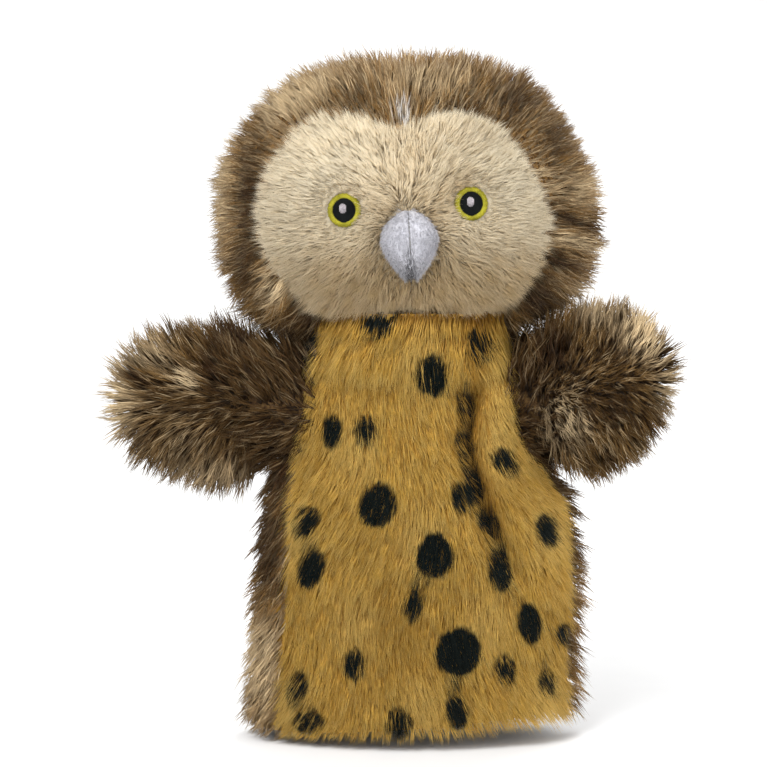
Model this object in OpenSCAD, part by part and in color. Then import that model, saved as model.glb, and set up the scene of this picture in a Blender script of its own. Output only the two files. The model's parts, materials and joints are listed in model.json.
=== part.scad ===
// Plush owl glove puppet: a furry sleeve for the hand, a stuffed head on a finger
// pocket, and two wings with a pocket each for the thumb and the middle finger.
// Millimetres. +Z up, the owl faces -Y, and the origin is the middle of the hand
// opening, in the plane of the hem.

/* [Sleeve] */
// Half width of the sleeve at the hem
hem_half_w = 56; // [52:1:62]
// Half depth of the sleeve at the hem
hem_half_d = 32; // [29:1:36]
// How much higher the hem hangs on the owl's left side
hem_rise = 8; // [0:1:12]
// Backing cloth of the plush
cloth_t = 1.6; // [1.2:0.1:1.8]
// Cloth of the lining
lining_t = 0.7; // [0.5:0.1:0.9]

/* [Head] */
// Half width of the head
head_half_w = 64; // [60:1:68]
// Half depth of the head, face side
head_half_front = 41; // [38:1:44]
// Half depth of the head, back side
head_half_back = 44; // [40:1:48]
// Height of the crown over the middle of the head
head_up = 52; // [48:1:54]
// Depth of the cheeks under the middle of the head
head_down = 38; // [36:1:40]
// Lean of the head to the owl's right as it is stored
head_lean = 3; // [0:0.5:5]
// Inside radius of the finger pocket
finger_r = 10; // [9:0.5:11]

/* [Face] */
// Half width of the face disc on the owl's right
face_right_w = 54; // [50:1:56]
// Half width of the face disc on the owl's left
face_left_w = 49; // [46:1:54]
// Distance between the eyes
eye_gap = 45; // [40:0.5:50]
// Outside radius of an embroidered eye
eye_r = 6; // [5:0.25:7]
// Half width of the beak
beak_half_w = 10; // [8:0.5:11]
// Height of the beak
beak_h = 24; // [20:1:26]

/* [Wings] */
// Forward swing of the owl's left wing as it is stored
left_swing = 42; // [0:1:45]
// Lift of the owl's left wing as it is stored
left_lift = 13; // [0:1:14]

/* [Hidden] */
$fn = 64;

tan_plush = "#c9953f";
brown_plush = "#6b4a30";
cream_plush = "#d8c19a";
lining_cloth = "#2e2620";
iris_thread = "#e0cf22";
pupil_thread = "#14161c";
glint_thread = "#e8e6e4";
beak_velvet = "#c6c6d0";
fibre_fill = "#f2f0ea";

seam = 0.25;            // gap between two cloths that are sewn edge to edge
turn_gap = 0.6;         // gap round a ball-shaped gusset
neck = [0, 0, 146];     // centre of the neck gusset
neck_r = 22;            // outside radius of the neck gusset
neck_zone = 15;         // half height of the neck gusset
shoulder_x = 45;        // centre of a shoulder gusset, to the side
shoulder_z = 118;       // and its height
shoulder_r = 16;        // outside radius of a shoulder gusset
shoulder_zone = 10;     // half width of a shoulder gusset
head_mid = [1.5, 2, 190];
round_off = 2.6;        // exponent of the head's rounded box
pocket_low = 168.5;     // mouth of the finger pocket
pocket_high = 224;      // inner end of the finger pocket

// ---- helpers ----

function lerp(a, b, t) = a + (b - a) * t;
function sq(v) = v * v;

// Point at u, from 0 to 1, on the smooth curve through a list of rows.
function spline(rows, u) =
    let (last = len(rows) - 1, f = min(max(u, 0) * last, last - 0.000001), i = floor(f), t = f - i,
         a = rows[max(i - 1, 0)], b = rows[i], c = rows[i + 1], d = rows[min(i + 2, last)])
    0.5 * (2 * b + (c - a) * t + (2 * a - 5 * b + 4 * c - d) * t * t + (3 * b - a - 3 * c + d) * t * t * t);

// Closed solid between two equal grids of points. kind is "patch" for a sheet with four
// edges, "ring" for a tube, and "cup" for a tube whose last row is capped.
module cloth(outer, inner, kind = "patch") {
    rows = len(outer);
    cols = len(outer[0]);
    n = rows * cols;
    wrap = kind != "patch";
    across = wrap ? cols - 1 : cols - 2;
    points = [for (g = [outer, inner], r = g, p = r) p];
    skin = [for (i = [0:rows - 2], j = [0:across])
        let (k = (j + 1) % cols, a = i * cols + j, b = i * cols + k,
             c = (i + 1) * cols + k, d = (i + 1) * cols + j)
        each [[a, c, b], [a, d, c], [n + a, n + b, n + c], [n + a, n + c, n + d]]];
    first = [for (j = [0:across]) let (k = (j + 1) % cols) each [[j, k, n + k], [j, n + k, n + j]]];
    top = (rows - 1) * cols;
    last = kind == "cup"
        ? [[for (j = [cols - 1:-1:0]) top + j], [for (j = [0:cols - 1]) n + top + j]]
        : [for (j = [0:across]) let (k = (j + 1) % cols)
            each [[top + j, n + top + j, n + top + k], [top + j, n + top + k, top + k]]];
    sides = wrap ? [] : [for (i = [0:rows - 2])
        let (a = i * cols, d = (i + 1) * cols, b = a + cols - 1, c = d + cols - 1)
        each [[a, n + a, n + d], [a, n + d, d], [b, c, n + c], [b, n + c, n + b]]];
    polyhedron(points, concat(skin, first, last, sides), convexity = 8);
}

// ---- sleeve ----

// Rows of the sleeve's outside, hem to collar: height, half width, half depth.
sleeve_rows = [[0, hem_half_w, hem_half_d], [24, hem_half_w - 1, hem_half_d],
               [48, hem_half_w - 3, hem_half_d],
               [72, 50.5, 31.5], [94, 48, 31], [111, 45.8, 30.3], [125.5, 43.5, 29],
               [134.5, 39, 27.2], [139, 31.5, 25.2], [140.5, 24, 24]];
right_seam = 24;        // at the hem the owl's right side seam lies this many degrees to the front,
left_seam = 7;          // and the left one this many
seam_straight = 84;     // and from this height up both lie at the sides

// Point of the sleeve at height u (0 hem, 1 collar) and angle a, this deep inside its outside.
function sleeve(u, a, deep = 0) =
    let (row = spline(sleeve_rows, u), e = 0.01,
         d = spline(sleeve_rows, min(u + e, 1)) - spline(sleeve_rows, max(u - e, 0)),
         x = (row[1] - deep * d[0] / norm([d[0], d[1]])) * cos(a),
         y = (row[2] - deep * d[0] / norm([d[0], d[2]])) * sin(a),
         z = row[0] + deep * d[1] / norm([d[0], d[1]]))
    [x, y, z + hem_rise * max(0, 1 - row[0] / 90) * (0.5 + 0.5 * x / hem_half_w)];

// How far in front of the side a seam lies at height u, when it lies this far at the hem.
function seam_at(u, at_hem) =
    let (f = min(1, spline(sleeve_rows, u)[0] / seam_straight))
    at_hem * (1 - f * f * (3 - 2 * f));

// Half angle of the armhole at height u, and 0 above and below it.
function armhole(u) =
    let (row = spline(sleeve_rows, u), r = shoulder_r + turn_gap + 0.6,
         y = sqrt(max(0, sq(r) - sq(row[0] - shoulder_z) - sq(row[1] - shoulder_x))))
    asin(min(1, y / row[2]));

// Angle from the side at which a panel starts: at the seam, or round the armhole.
function panel_edge(front, u, at_hem) =
    let (line = (front ? 1 : -1) * seam_at(u, at_hem) + seam, hole = armhole(u))
    hole > 0 ? max(line, hole) : line;

// Front or back half of the sleeve between two heights, this deep inside its outside.
panel_rows = 27;
panel_cols = 20;
function panel(front, low, high, deep) =
    [for (i = [0:panel_rows])
        let (u = lerp(low, high, i / panel_rows),
             right = panel_edge(front, u, right_seam), left = panel_edge(front, u, left_seam))
        [for (j = [0:panel_cols])
            sleeve(u, front ? lerp(180 + right, 360 - left, j / panel_cols)
                            : lerp(left, 180 - right, j / panel_cols), deep)]];

module belly_panel() {
    color(tan_plush) cloth(panel(true, 0, 1, 0), panel(true, 0, 1, cloth_t));
}

module back_panel() {
    color(brown_plush) cloth(panel(false, 0, 1, 0), panel(false, 0, 1, cloth_t));
}

lining_low = 0.01;
lining_high = 0.93;
lining_out = cloth_t + 0.3;
lining_in = lining_out + lining_t;

module lining(front) {
    color(lining_cloth)
        cloth(panel(front, lining_low, lining_high, lining_out),
              panel(front, lining_low, lining_high, lining_in));
}

// Band of lining cloth folded over the raw edge, inside the hem.
facing_high = 0.045;
facing_out = lining_in + 0.3;
facing_t = 0.8;
function band(deep) =
    [for (i = [0:2]) [for (j = [0:47]) sleeve(lerp(0.012, facing_high, i / 2), j * 7.5, deep)]];

module hem_facing() {
    color(lining_cloth) cloth(band(facing_out), band(facing_out + facing_t), "ring");
}

// Running stitches round the facing, each a short bar of thread.
stitches = 44;
module hem_stitches() {
    color(tan_plush) for (k = [0:stitches - 1]) {
        a = 360 / stitches * k;
        here = sleeve(0.031, a, facing_out + facing_t + 0.4);
        next = sleeve(0.031, a + 4, facing_out + facing_t + 0.4);
        along = next - here;
        translate(here)
            rotate([0, acos(along[2] / norm(along)), atan2(along[1], along[0])])
                cylinder(h = 2.4, r = 0.3, $fn = 6);
    }
}

// ---- gussets: ball-shaped rings of cloth that let the head and wings turn ----

// Zone of a thin ball with a way through it along Z.
module ball_ring(r, zone, t) {
    rotate_extrude() intersection() {
        difference() {
            circle(r);
            circle(r - t);
        }
        translate([0, -zone]) square([r, 2 * zone]);
    }
}

module lean() {
    translate(neck) rotate([0, -head_lean, 0]) translate(-neck) children();
}

module neck_gusset() {
    color(brown_plush) lean() translate(neck) ball_ring(neck_r, neck_zone, cloth_t);
}

// Carries a wing, drawn along +X from its shoulder, to its place. The owl's right is -X.
module wing_place(left) {
    mirror([left ? 0 : 1, 0, 0])
        translate([shoulder_x, 0, shoulder_z])
            rotate([0, 0, left ? -left_swing : 0])
                rotate([0, left ? -left_lift : 0, 0])
                    children();
}

module shoulder_gusset(left) {
    color(brown_plush) wing_place(left) rotate([0, 90, 0]) ball_ring(shoulder_r, shoulder_zone, cloth_t);
}

// ---- head ----

// Point of the head: turn goes round the X axis from the face (0) over the crown (90),
// lat goes from the middle (0) out to the side (90), negative towards the owl's right.
function head(turn, lat, deep = 0) =
    let (a = head_half_w - deep,
         b = (cos(turn) > 0 ? head_half_front : head_half_back) - deep,
         c = (sin(turn) > 0 ? head_up : head_down) - deep,
         k = pow(1 - pow(abs(sin(lat)), round_off), 1 / round_off),
         r = pow(pow(abs(cos(turn)) / b, round_off) + pow(abs(sin(turn)) / c, round_off), -1 / round_off))
    head_mid + [a * sin(lat), -k * r * cos(turn), k * r * sin(turn)];

// How far out the neck opening reaches at this turn, as lat on one side.
function neck_edge(turn, side, lat = 0, tries = 4) =
    let (p = head(turn, side * lat), r = neck_r + turn_gap + 0.8,
         x = sqrt(max(0, sq(r) - sq(p[1]) - sq(p[2] - neck[2]))))
    tries == 0 ? lat : neck_edge(turn, side, asin(max(0, x - side * head_mid[0]) / head_half_w), tries - 1);
function at_neck(turn, side) = turn > 225 && turn < 315 ? neck_edge(turn, side) : 0;

// Outer edge of the face disc, and the edge of the crown gusset with its peak on the brow.
face_top = 52;
face_low = -57;
function face_edge(turn, w) =
    let (t = turn > 180 ? turn - 360 : turn, reach = t > 0 ? face_top + 1.5 : 78)
    t > face_top || t < face_low ? 0 : asin(w / head_half_w * sqrt(max(0, 1 - sq(t / reach))));
crown_low = 30;
crown_high = 160;
function crown_edge(turn) =
    turn < crown_low || turn > crown_high ? 0
    : 1.5 + 20 * pow(sin((turn - crown_low) / (crown_high - crown_low) * 180), 1.15);

function face_w(side) = side < 0 ? face_right_w : face_left_w;
function hood_edge(turn, side) =
    max(0.5, face_edge(turn, face_w(side)), crown_edge(turn), at_neck(turn, side)) + seam;

hood_cols = 40;
function hood_grid(side, deep) =
    [for (i = [0:8]) [for (j = [0:hood_cols - 1])
        let (turn = side > 0 ? j * 360 / hood_cols : 360 - (j + 1) * 360 / hood_cols,
             e = hood_edge(turn, side))
        head(turn, side * lerp(e, 84, i / 8), deep)]];

module hood(side) {
    color(brown_plush) lean() cloth(hood_grid(side, 0), hood_grid(side, cloth_t), "cup");
}

function crown_grid(deep) =
    [for (i = [0:14]) let (turn = lerp(crown_low, crown_high, i / 14), e = crown_edge(turn) - seam)
        [for (j = [0:8]) head(turn, lerp(-e, e, j / 8), deep)]];

module crown_gusset() {
    color(brown_plush) lean() cloth(crown_grid(0), crown_grid(cloth_t));
}

function face_grid(side, deep) =
    [for (i = [0:14])
        let (turn = lerp(face_low + 1, face_top - 2, i / 14), near = crown_edge(turn) + seam,
             far = face_edge(turn, face_w(side)) - seam)
        [for (j = [0:9]) head(turn, side * lerp(near, far, side > 0 ? j / 9 : 1 - j / 9), deep)]];

module face(side) {
    color(cream_plush) lean() cloth(face_grid(side, 0), face_grid(side, cloth_t));
}

// Fibre filling: the inside of the head less the finger pocket and the neck gusset's room.
fill_gap = cloth_t + 0.5;
module head_stuffing() {
    color(fibre_fill) lean() difference() {
        polyhedron(
            [for (i = [0:8], j = [0:23]) head(j * 15, lerp(-80, 80, i / 8), fill_gap)],
            concat([for (i = [0:7], j = [0:23])
                let (k = (j + 1) % 24, a = i * 24 + j, b = i * 24 + k, c = b + 24, d = a + 24)
                each [[a, c, b], [a, d, c]]],
                [[for (j = [0:23]) j]], [[for (j = [23:-1:0]) 192 + j]]));
        translate([0, 0, pocket_low - 10])
            cylinder(h = pocket_high - pocket_low + 12, r = finger_r + cloth_t + 0.2);
        translate(neck) sphere(neck_r + turn_gap + 1);
    }
}

module finger_pocket() {
    color(lining_cloth) lean() difference() {
        translate([0, 0, pocket_low])
            cylinder(h = pocket_high - pocket_low + cloth_t, r = finger_r + cloth_t);
        translate([0, 0, pocket_low - 1]) cylinder(h = pocket_high - pocket_low + 1, r = finger_r);
    }
}

// ---- face details ----

eye_up = 2;             // height of the eyes over the middle of the head

// Outward direction and place of the face at x, z from the middle of the head.
function face_y(x, z) =
    let (c = z > 0 ? head_up : head_down)
    -head_half_front
        * pow(1 - pow(abs(x) / head_half_w, round_off) - pow(abs(z) / c, round_off), 1 / round_off);
function face_out(x, z) =
    let (e = 0.5, dx = (face_y(x + e, z) - face_y(x - e, z)) / (2 * e),
         dz = (face_y(x, z + e) - face_y(x, z - e)) / (2 * e))
    [dx, -1, dz] / norm([dx, -1, dz]);

// Draws along +Z out of the face at x, z, starting this far over the cloth.
module on_face(x, z, over) {
    out = face_out(x, z);
    lean() translate(head_mid + [x, face_y(x, z), z] + over * out)
        rotate([0, acos(out[2]), atan2(out[1], out[0])])
            children();
}

pupil_r = 0.72 * eye_r;
eye_t = 1.6;
module eye_ring(side) {
    color(iris_thread) on_face(side * eye_gap / 2, eye_up, 0.3) difference() {
        cylinder(h = eye_t, r = eye_r);
        translate([0, 0, -1]) cylinder(h = eye_t + 2, r = pupil_r + 0.05);
    }
}

module pupil(side) {
    color(pupil_thread) on_face(side * eye_gap / 2, eye_up, 0.3) cylinder(h = eye_t + 0.1, r = pupil_r);
}

module glint(side) {
    color(glint_thread) on_face(side * eye_gap / 2, eye_up, 0.3 + eye_t + 0.15) cylinder(h = 0.5, r = 1.4);
}

// Rows of the beak, top to tip: drop, half width, how far the ridge stands out.
beak_rows = [[0, 0.22 * beak_half_w, 2.5], [0.14, 0.68 * beak_half_w, 6.5], [0.38, beak_half_w, 11],
             [0.62, 0.84 * beak_half_w, 13.5], [0.84, 0.5 * beak_half_w, 12.5], [1, 0.18 * beak_half_w, 8.5]];
beak_top = 0.5;         // height of the beak's top over the middle of the head
beak_root = 0.6;        // gap between the beak and the face's cloth

// Point of the beak: u from top to tip, a from the ridge (0) to the owl's left edge (90).
function beak(u, a, deep = 0) =
    let (row = spline(beak_rows, u), z = beak_top - beak_h * row[0],
         x = (row[1] - deep) * sin(a))
    head_mid + [x, face_y(0, z) - beak_root - (row[2] - deep) * pow(max(cos(a), 0), 0.8), z];

beak_cloth_t = 0.9;
function beak_grid(side, deep) =
    [for (i = [9:-1:0]) [for (j = [0:6])
        let (a = lerp(2, 88, side > 0 ? j / 6 : 1 - j / 6), tuck = deep > 0 ? 0.03 : 0)
        beak(lerp(tuck, 1 - tuck, i / 9), side * a, deep)]];

module beak_half(side) {
    color(beak_velvet) lean() cloth(beak_grid(side, 0), beak_grid(side, beak_cloth_t));
}

module beak_stuffing() {
    rows = 8;
    cols = 9;
    front = [for (i = [rows:-1:0]) [for (j = [0:cols - 1])
        beak(lerp(0.14, 0.9, i / rows), lerp(-84, 84, j / (cols - 1)), 1.6)]];
    back = [for (r = front) [for (p = r)
        [p[0], head_mid[1] + face_y(0, p[2] - head_mid[2]) - beak_root, p[2]]]];
    color(fibre_fill) lean() cloth(front, back);
}

// ---- wings, drawn along +X from the shoulder ----

// Rows of the wing: distance out, lower edge, upper edge, half thickness.
wing_rows = [[13.5, -14, 17.5, 10.8], [22, -20, 23.5, 10.2], [32, -23, 26, 9.2],
             [43, -19, 25, 7.6], [52, -11, 19.5, 5.6], [58, -3, 11.5, 3.6], [60.5, 1.6, 7.2, 2.6]];
pocket_rows = [[16, -10.5, 11.5, 7.8], [26, -13, 14, 7.2], [38, -10, 13.5, 5.8], [46, -4.5, 11.5, 4]];

// Point on a wing row at u, at angle a round its section, this deep inside it.
function wing(rows, u, a, deep = 0) =
    let (row = spline(rows, u))
    [row[0], -(row[3] - deep) * sin(a), (row[1] + row[2]) / 2 + ((row[2] - row[1]) / 2 - deep) * cos(a)];

function wing_grid(front, deep) =
    [for (i = [0:12]) [for (j = [0:10])
        wing(wing_rows, i / 12, front ? lerp(178, 2, j / 10) : lerp(358, 182, j / 10), deep)]];

module wing_panel(left, front) {
    turned = [for (deep = [0, cloth_t]) [for (row = wing_grid(front, deep)) [for (j = [10:-1:0]) row[j]]]];
    color(brown_plush) wing_place(left) cloth(turned[0], turned[1]);
}

function pocket_grid(deep) =
    [for (i = [0:7]) [for (j = [0:23]) wing(pocket_rows, i / 7 - (i == 7 ? deep / 60 : 0), j * 15, deep)]];

module wing_pocket(left) {
    color(lining_cloth) wing_place(left) cloth(pocket_grid(0), pocket_grid(lining_t), "cup");
}

// ---- nodes ----

belly_panel();
back_panel();
lining(true);  // lining_front
lining(false);  // lining_back
hem_facing();
hem_stitches();
neck_gusset();
hood(-1);  // hood_right
hood(1);  // hood_left
crown_gusset();
face(-1);  // face_right
face(1);  // face_left
head_stuffing();
finger_pocket();
eye_ring(-1);  // eye_ring_right
eye_ring(1);  // eye_ring_left
pupil(-1);  // pupil_right
pupil(1);  // pupil_left
glint(-1);  // glint_right
glint(1);  // glint_left
beak_half(-1);  // beak_right
beak_half(1);  // beak_left
beak_stuffing();
shoulder_gusset(false);  // shoulder_gusset_right
wing_panel(false, true);  // wing_front_right
wing_panel(false, false);  // wing_back_right
wing_pocket(false);  // wing_pocket_right
shoulder_gusset(true);  // shoulder_gusset_left
wing_panel(true, true);  // wing_front_left
wing_panel(true, false);  // wing_back_left
wing_pocket(true);  // wing_pocket_left
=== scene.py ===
import json
import math

import bmesh
import bpy
import numpy as np
from mathutils import Matrix, Vector

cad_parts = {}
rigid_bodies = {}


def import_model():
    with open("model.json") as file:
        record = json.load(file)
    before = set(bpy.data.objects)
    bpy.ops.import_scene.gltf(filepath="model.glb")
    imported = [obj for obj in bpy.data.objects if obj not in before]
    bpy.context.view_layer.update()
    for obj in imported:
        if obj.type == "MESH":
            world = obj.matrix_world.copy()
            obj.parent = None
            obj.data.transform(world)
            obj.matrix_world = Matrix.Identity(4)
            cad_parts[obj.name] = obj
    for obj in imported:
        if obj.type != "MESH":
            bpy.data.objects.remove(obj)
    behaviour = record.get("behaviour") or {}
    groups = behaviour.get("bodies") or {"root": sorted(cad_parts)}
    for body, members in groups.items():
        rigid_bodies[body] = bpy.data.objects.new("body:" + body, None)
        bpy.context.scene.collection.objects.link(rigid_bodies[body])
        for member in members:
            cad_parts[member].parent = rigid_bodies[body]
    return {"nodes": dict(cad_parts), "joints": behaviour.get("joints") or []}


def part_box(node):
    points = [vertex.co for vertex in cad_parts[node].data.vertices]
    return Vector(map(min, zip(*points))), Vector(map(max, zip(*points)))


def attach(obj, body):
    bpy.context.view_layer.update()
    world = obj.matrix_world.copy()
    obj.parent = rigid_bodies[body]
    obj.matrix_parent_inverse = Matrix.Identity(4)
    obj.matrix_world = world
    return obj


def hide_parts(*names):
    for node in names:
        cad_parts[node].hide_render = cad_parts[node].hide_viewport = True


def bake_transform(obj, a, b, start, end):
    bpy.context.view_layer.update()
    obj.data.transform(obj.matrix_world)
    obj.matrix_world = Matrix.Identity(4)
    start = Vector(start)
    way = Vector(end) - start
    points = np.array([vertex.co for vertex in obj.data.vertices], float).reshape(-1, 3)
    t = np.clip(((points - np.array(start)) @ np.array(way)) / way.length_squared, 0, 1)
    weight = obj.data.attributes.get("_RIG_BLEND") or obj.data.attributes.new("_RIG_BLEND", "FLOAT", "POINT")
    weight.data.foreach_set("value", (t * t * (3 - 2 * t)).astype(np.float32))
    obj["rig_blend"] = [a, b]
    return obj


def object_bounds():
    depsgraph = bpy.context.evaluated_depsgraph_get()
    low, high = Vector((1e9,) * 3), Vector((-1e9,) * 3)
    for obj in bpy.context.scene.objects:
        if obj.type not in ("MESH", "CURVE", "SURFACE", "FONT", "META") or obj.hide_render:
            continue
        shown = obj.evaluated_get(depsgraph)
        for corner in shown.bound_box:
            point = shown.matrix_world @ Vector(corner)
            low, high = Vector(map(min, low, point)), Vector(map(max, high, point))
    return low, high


bl_info = {
    "name": "Owl glove puppet",
    "version": (1, 0, 0),
    "blender": (4, 5, 0),
    "location": "View3D > Sidebar > Owl",
    "description": "Dresses the jointed frame of an owl glove puppet in plush, lining, embroidery and velvet",
    "category": "Object",
}

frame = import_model()
frame_low, frame_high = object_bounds()
MM = 0.001

# ---- places taken from the frame, or repeated from it, in metres ----

NECK = Vector(frame["joints"][0]["pos_m"])
SHOULDER = {j["child"].split("_")[1]: Vector(j["pos_m"])
            for j in frame["joints"] if j["child"].startswith("shoulder")}
HEAD_LEAN = math.radians(3)
WING_SWING = {"right": 0.0, "left": math.radians(42)}
WING_LIFT = {"right": 0.0, "left": math.radians(13)}
HEAD_MID = Vector((1.5 * MM, 2 * MM, 190 * MM))
HEAD_HALF = Vector((64 * MM, 42 * MM, 45 * MM))
SIDES = ("right", "left")
FILLING = (0.85, 0.84, 0.80)
PLUSH_CLOTH, LINING_CLOTH, FACING_CLOTH = 1.2 * MM, 0.5 * MM, 0.6 * MM


def lean_matrix():
    """Turns a point of the upright head to where the leaning head has it."""
    return Matrix.Translation(NECK) @ Matrix.Rotation(-HEAD_LEAN, 4, "Y") @ Matrix.Translation(-NECK)


def wing_matrix(side, share=1.0):
    """Turns a point drawn along +X from the shoulder, forward along -Y, to its place on that wing,
    or by a share of the wing's turn."""
    turn = (Matrix.Rotation(-WING_SWING[side] * share, 4, "Z")
            @ Matrix.Rotation(-WING_LIFT[side] * share, 4, "Y"))
    flip = Matrix.Identity(4) if side == "left" else Matrix.Scale(-1, 4, (1, 0, 0))
    return Matrix.Translation(SHOULDER[side]) @ flip @ turn


# ---- sizes and colours that a user may change ----


class OwlPileSizes(bpy.types.PropertyGroup):
    """Lengths and thicknesses of the plush's pile."""

    belly_length: bpy.props.FloatProperty(
        name="Belly pile", description="Length of the belly's pile", default=9.5 * MM, unit="LENGTH")
    face_length: bpy.props.FloatProperty(
        name="Face pile", description="Length of the face's pile", default=7 * MM, unit="LENGTH")
    brown_length: bpy.props.FloatProperty(
        name="Brown pile", description="Length of the brown pile", default=12.5 * MM, unit="LENGTH")
    hair_width: bpy.props.FloatProperty(
        name="Hair width", description="Thickness of a strand at its root", default=0.34 * MM, unit="LENGTH")
    density: bpy.props.FloatProperty(
        name="Density", description="Share of the full number of locks", default=1.0, min=0.05, max=1.2)


class OwlColours(bpy.types.PropertyGroup):
    """Colours of the cloths and threads."""

    # Some of these colours also stand for light and shade: ochre and straw give the belly's painted shade in
    # its crease and under the chin and its painted highlight on the fold, fawn the face's painted shade round
    # the eyes, dark the painted shade at the wing roots and across the joints, and cream, made lighter at the
    # roots of the face's pile, painted light between its locks.
    tan: bpy.props.FloatVectorProperty(
        name="Belly", description="Golden tan of the belly", subtype="COLOR", default=(0.70, 0.43, 0.085))
    straw: bpy.props.FloatVectorProperty(
        name="Belly tips", description="Lighter straw of the belly's tips", subtype="COLOR",
        default=(0.88, 0.62, 0.19))
    ochre: bpy.props.FloatVectorProperty(
        name="Belly roots", description="Darker ochre between the belly's locks", subtype="COLOR",
        default=(0.40, 0.20, 0.028))
    spot: bpy.props.FloatVectorProperty(
        name="Spots", description="Near-black of the printed spots", subtype="COLOR",
        default=(0.010, 0.015, 0.013))
    dark: bpy.props.FloatVectorProperty(
        name="Dark brown", description="Dark brown of the wings and the head", subtype="COLOR",
        default=(0.042, 0.019, 0.006))
    brown: bpy.props.FloatVectorProperty(
        name="Mid brown", description="Mid brown of the wings and the head", subtype="COLOR",
        default=(0.26, 0.145, 0.047))
    fawn: bpy.props.FloatVectorProperty(
        name="Fawn", description="Fawn of the brown plush's tips and the cheeks", subtype="COLOR",
        default=(0.52, 0.365, 0.18))
    beige: bpy.props.FloatVectorProperty(
        name="Beige", description="Beige streaks of the brown plush", subtype="COLOR",
        default=(0.72, 0.56, 0.34))
    cream: bpy.props.FloatVectorProperty(
        name="Cream", description="Cream of the face", subtype="COLOR", default=(0.79, 0.68, 0.49))
    ivory: bpy.props.FloatVectorProperty(
        name="Ivory", description="Lightest parts of the face", subtype="COLOR", default=(0.80, 0.71, 0.54))
    white: bpy.props.FloatVectorProperty(
        name="White", description="White-grey notch over the face", subtype="COLOR",
        default=(0.75, 0.72, 0.68))
    lining: bpy.props.FloatVectorProperty(
        name="Lining", description="Dark lining", subtype="COLOR", default=(0.045, 0.032, 0.025))
    iris: bpy.props.FloatVectorProperty(
        name="Iris", description="Yellow thread", subtype="COLOR", default=(0.33, 0.30, 0.028))
    pupil: bpy.props.FloatVectorProperty(
        name="Pupil", description="Black thread", subtype="COLOR", default=(0.006, 0.007, 0.007))
    glint: bpy.props.FloatVectorProperty(
        name="Glint", description="Off-white thread", subtype="COLOR", default=(0.36, 0.33, 0.35))
    beak: bpy.props.FloatVectorProperty(
        name="Beak", description="Pale velvet of the beak", subtype="COLOR", default=(0.62, 0.615, 0.665))


# ---- node helpers ----


def link(tree, source, target):
    tree.links.new(source, target)


def maths(tree, operation, *values, clamp=False):
    node = tree.nodes.new("ShaderNodeMath")
    node.operation = operation
    node.use_clamp = clamp
    for socket, value in zip(node.inputs, values):
        if isinstance(value, (int, float)):
            socket.default_value = value
        else:
            link(tree, value, socket)
    return node.outputs[0]


def vectors(tree, operation, *values, scale=None):
    node = tree.nodes.new("ShaderNodeVectorMath")
    node.operation = operation
    for socket, value in zip(node.inputs, values):
        if isinstance(value, (tuple, Vector)):
            socket.default_value = value
        else:
            link(tree, value, socket)
    if scale is not None:
        if isinstance(scale, (int, float)):
            node.inputs["Scale"].default_value = scale
        else:
            link(tree, scale, node.inputs["Scale"])
    return node.outputs[0]


def mixed(tree, factor, a, b, blend="MIX"):
    """Mixes two colours, each a socket or a tuple."""
    node = tree.nodes.new("ShaderNodeMix")
    node.data_type = "RGBA"
    node.blend_type = blend
    for socket, value in ((node.inputs[0], factor), (node.inputs[6], a), (node.inputs[7], b)):
        if isinstance(value, (int, float)):
            socket.default_value = value
        elif not isinstance(value, bpy.types.NodeSocket):
            socket.default_value = (*value[:3], 1)
        else:
            link(tree, value, socket)
    return node.outputs[2]


def attribute(tree, name, output):
    node = tree.nodes.new("ShaderNodeAttribute")
    node.attribute_name = name
    return node.outputs[output]


def noise_at(tree, vector, scale, detail=2.0, output="Fac"):
    node = tree.nodes.new("ShaderNodeTexNoise")
    node.inputs["Scale"].default_value = scale
    node.inputs["Detail"].default_value = detail
    link(tree, vector, node.inputs["Vector"])
    return node.outputs[output]


def between(tree, value, low, high):
    """0 below low, 1 above high, smooth between."""
    node = tree.nodes.new("ShaderNodeMapRange")
    node.interpolation_type = "SMOOTHSTEP"
    node.inputs["From Min"].default_value = low
    node.inputs["From Max"].default_value = high
    link(tree, value, node.inputs["Value"])
    return node.outputs["Result"]


def group_with(name, inputs, outputs):
    """An empty shader node group with named inputs and outputs."""
    group = bpy.data.node_groups.new(name, "ShaderNodeTree")
    for label, kind, default in inputs:
        socket = group.interface.new_socket(label, in_out="INPUT", socket_type=kind)
        socket.default_value = default
    for label, kind in outputs:
        group.interface.new_socket(label, in_out="OUTPUT", socket_type=kind)
    return group, group.nodes.new("NodeGroupInput").outputs, group.nodes.new("NodeGroupOutput").inputs


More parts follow.
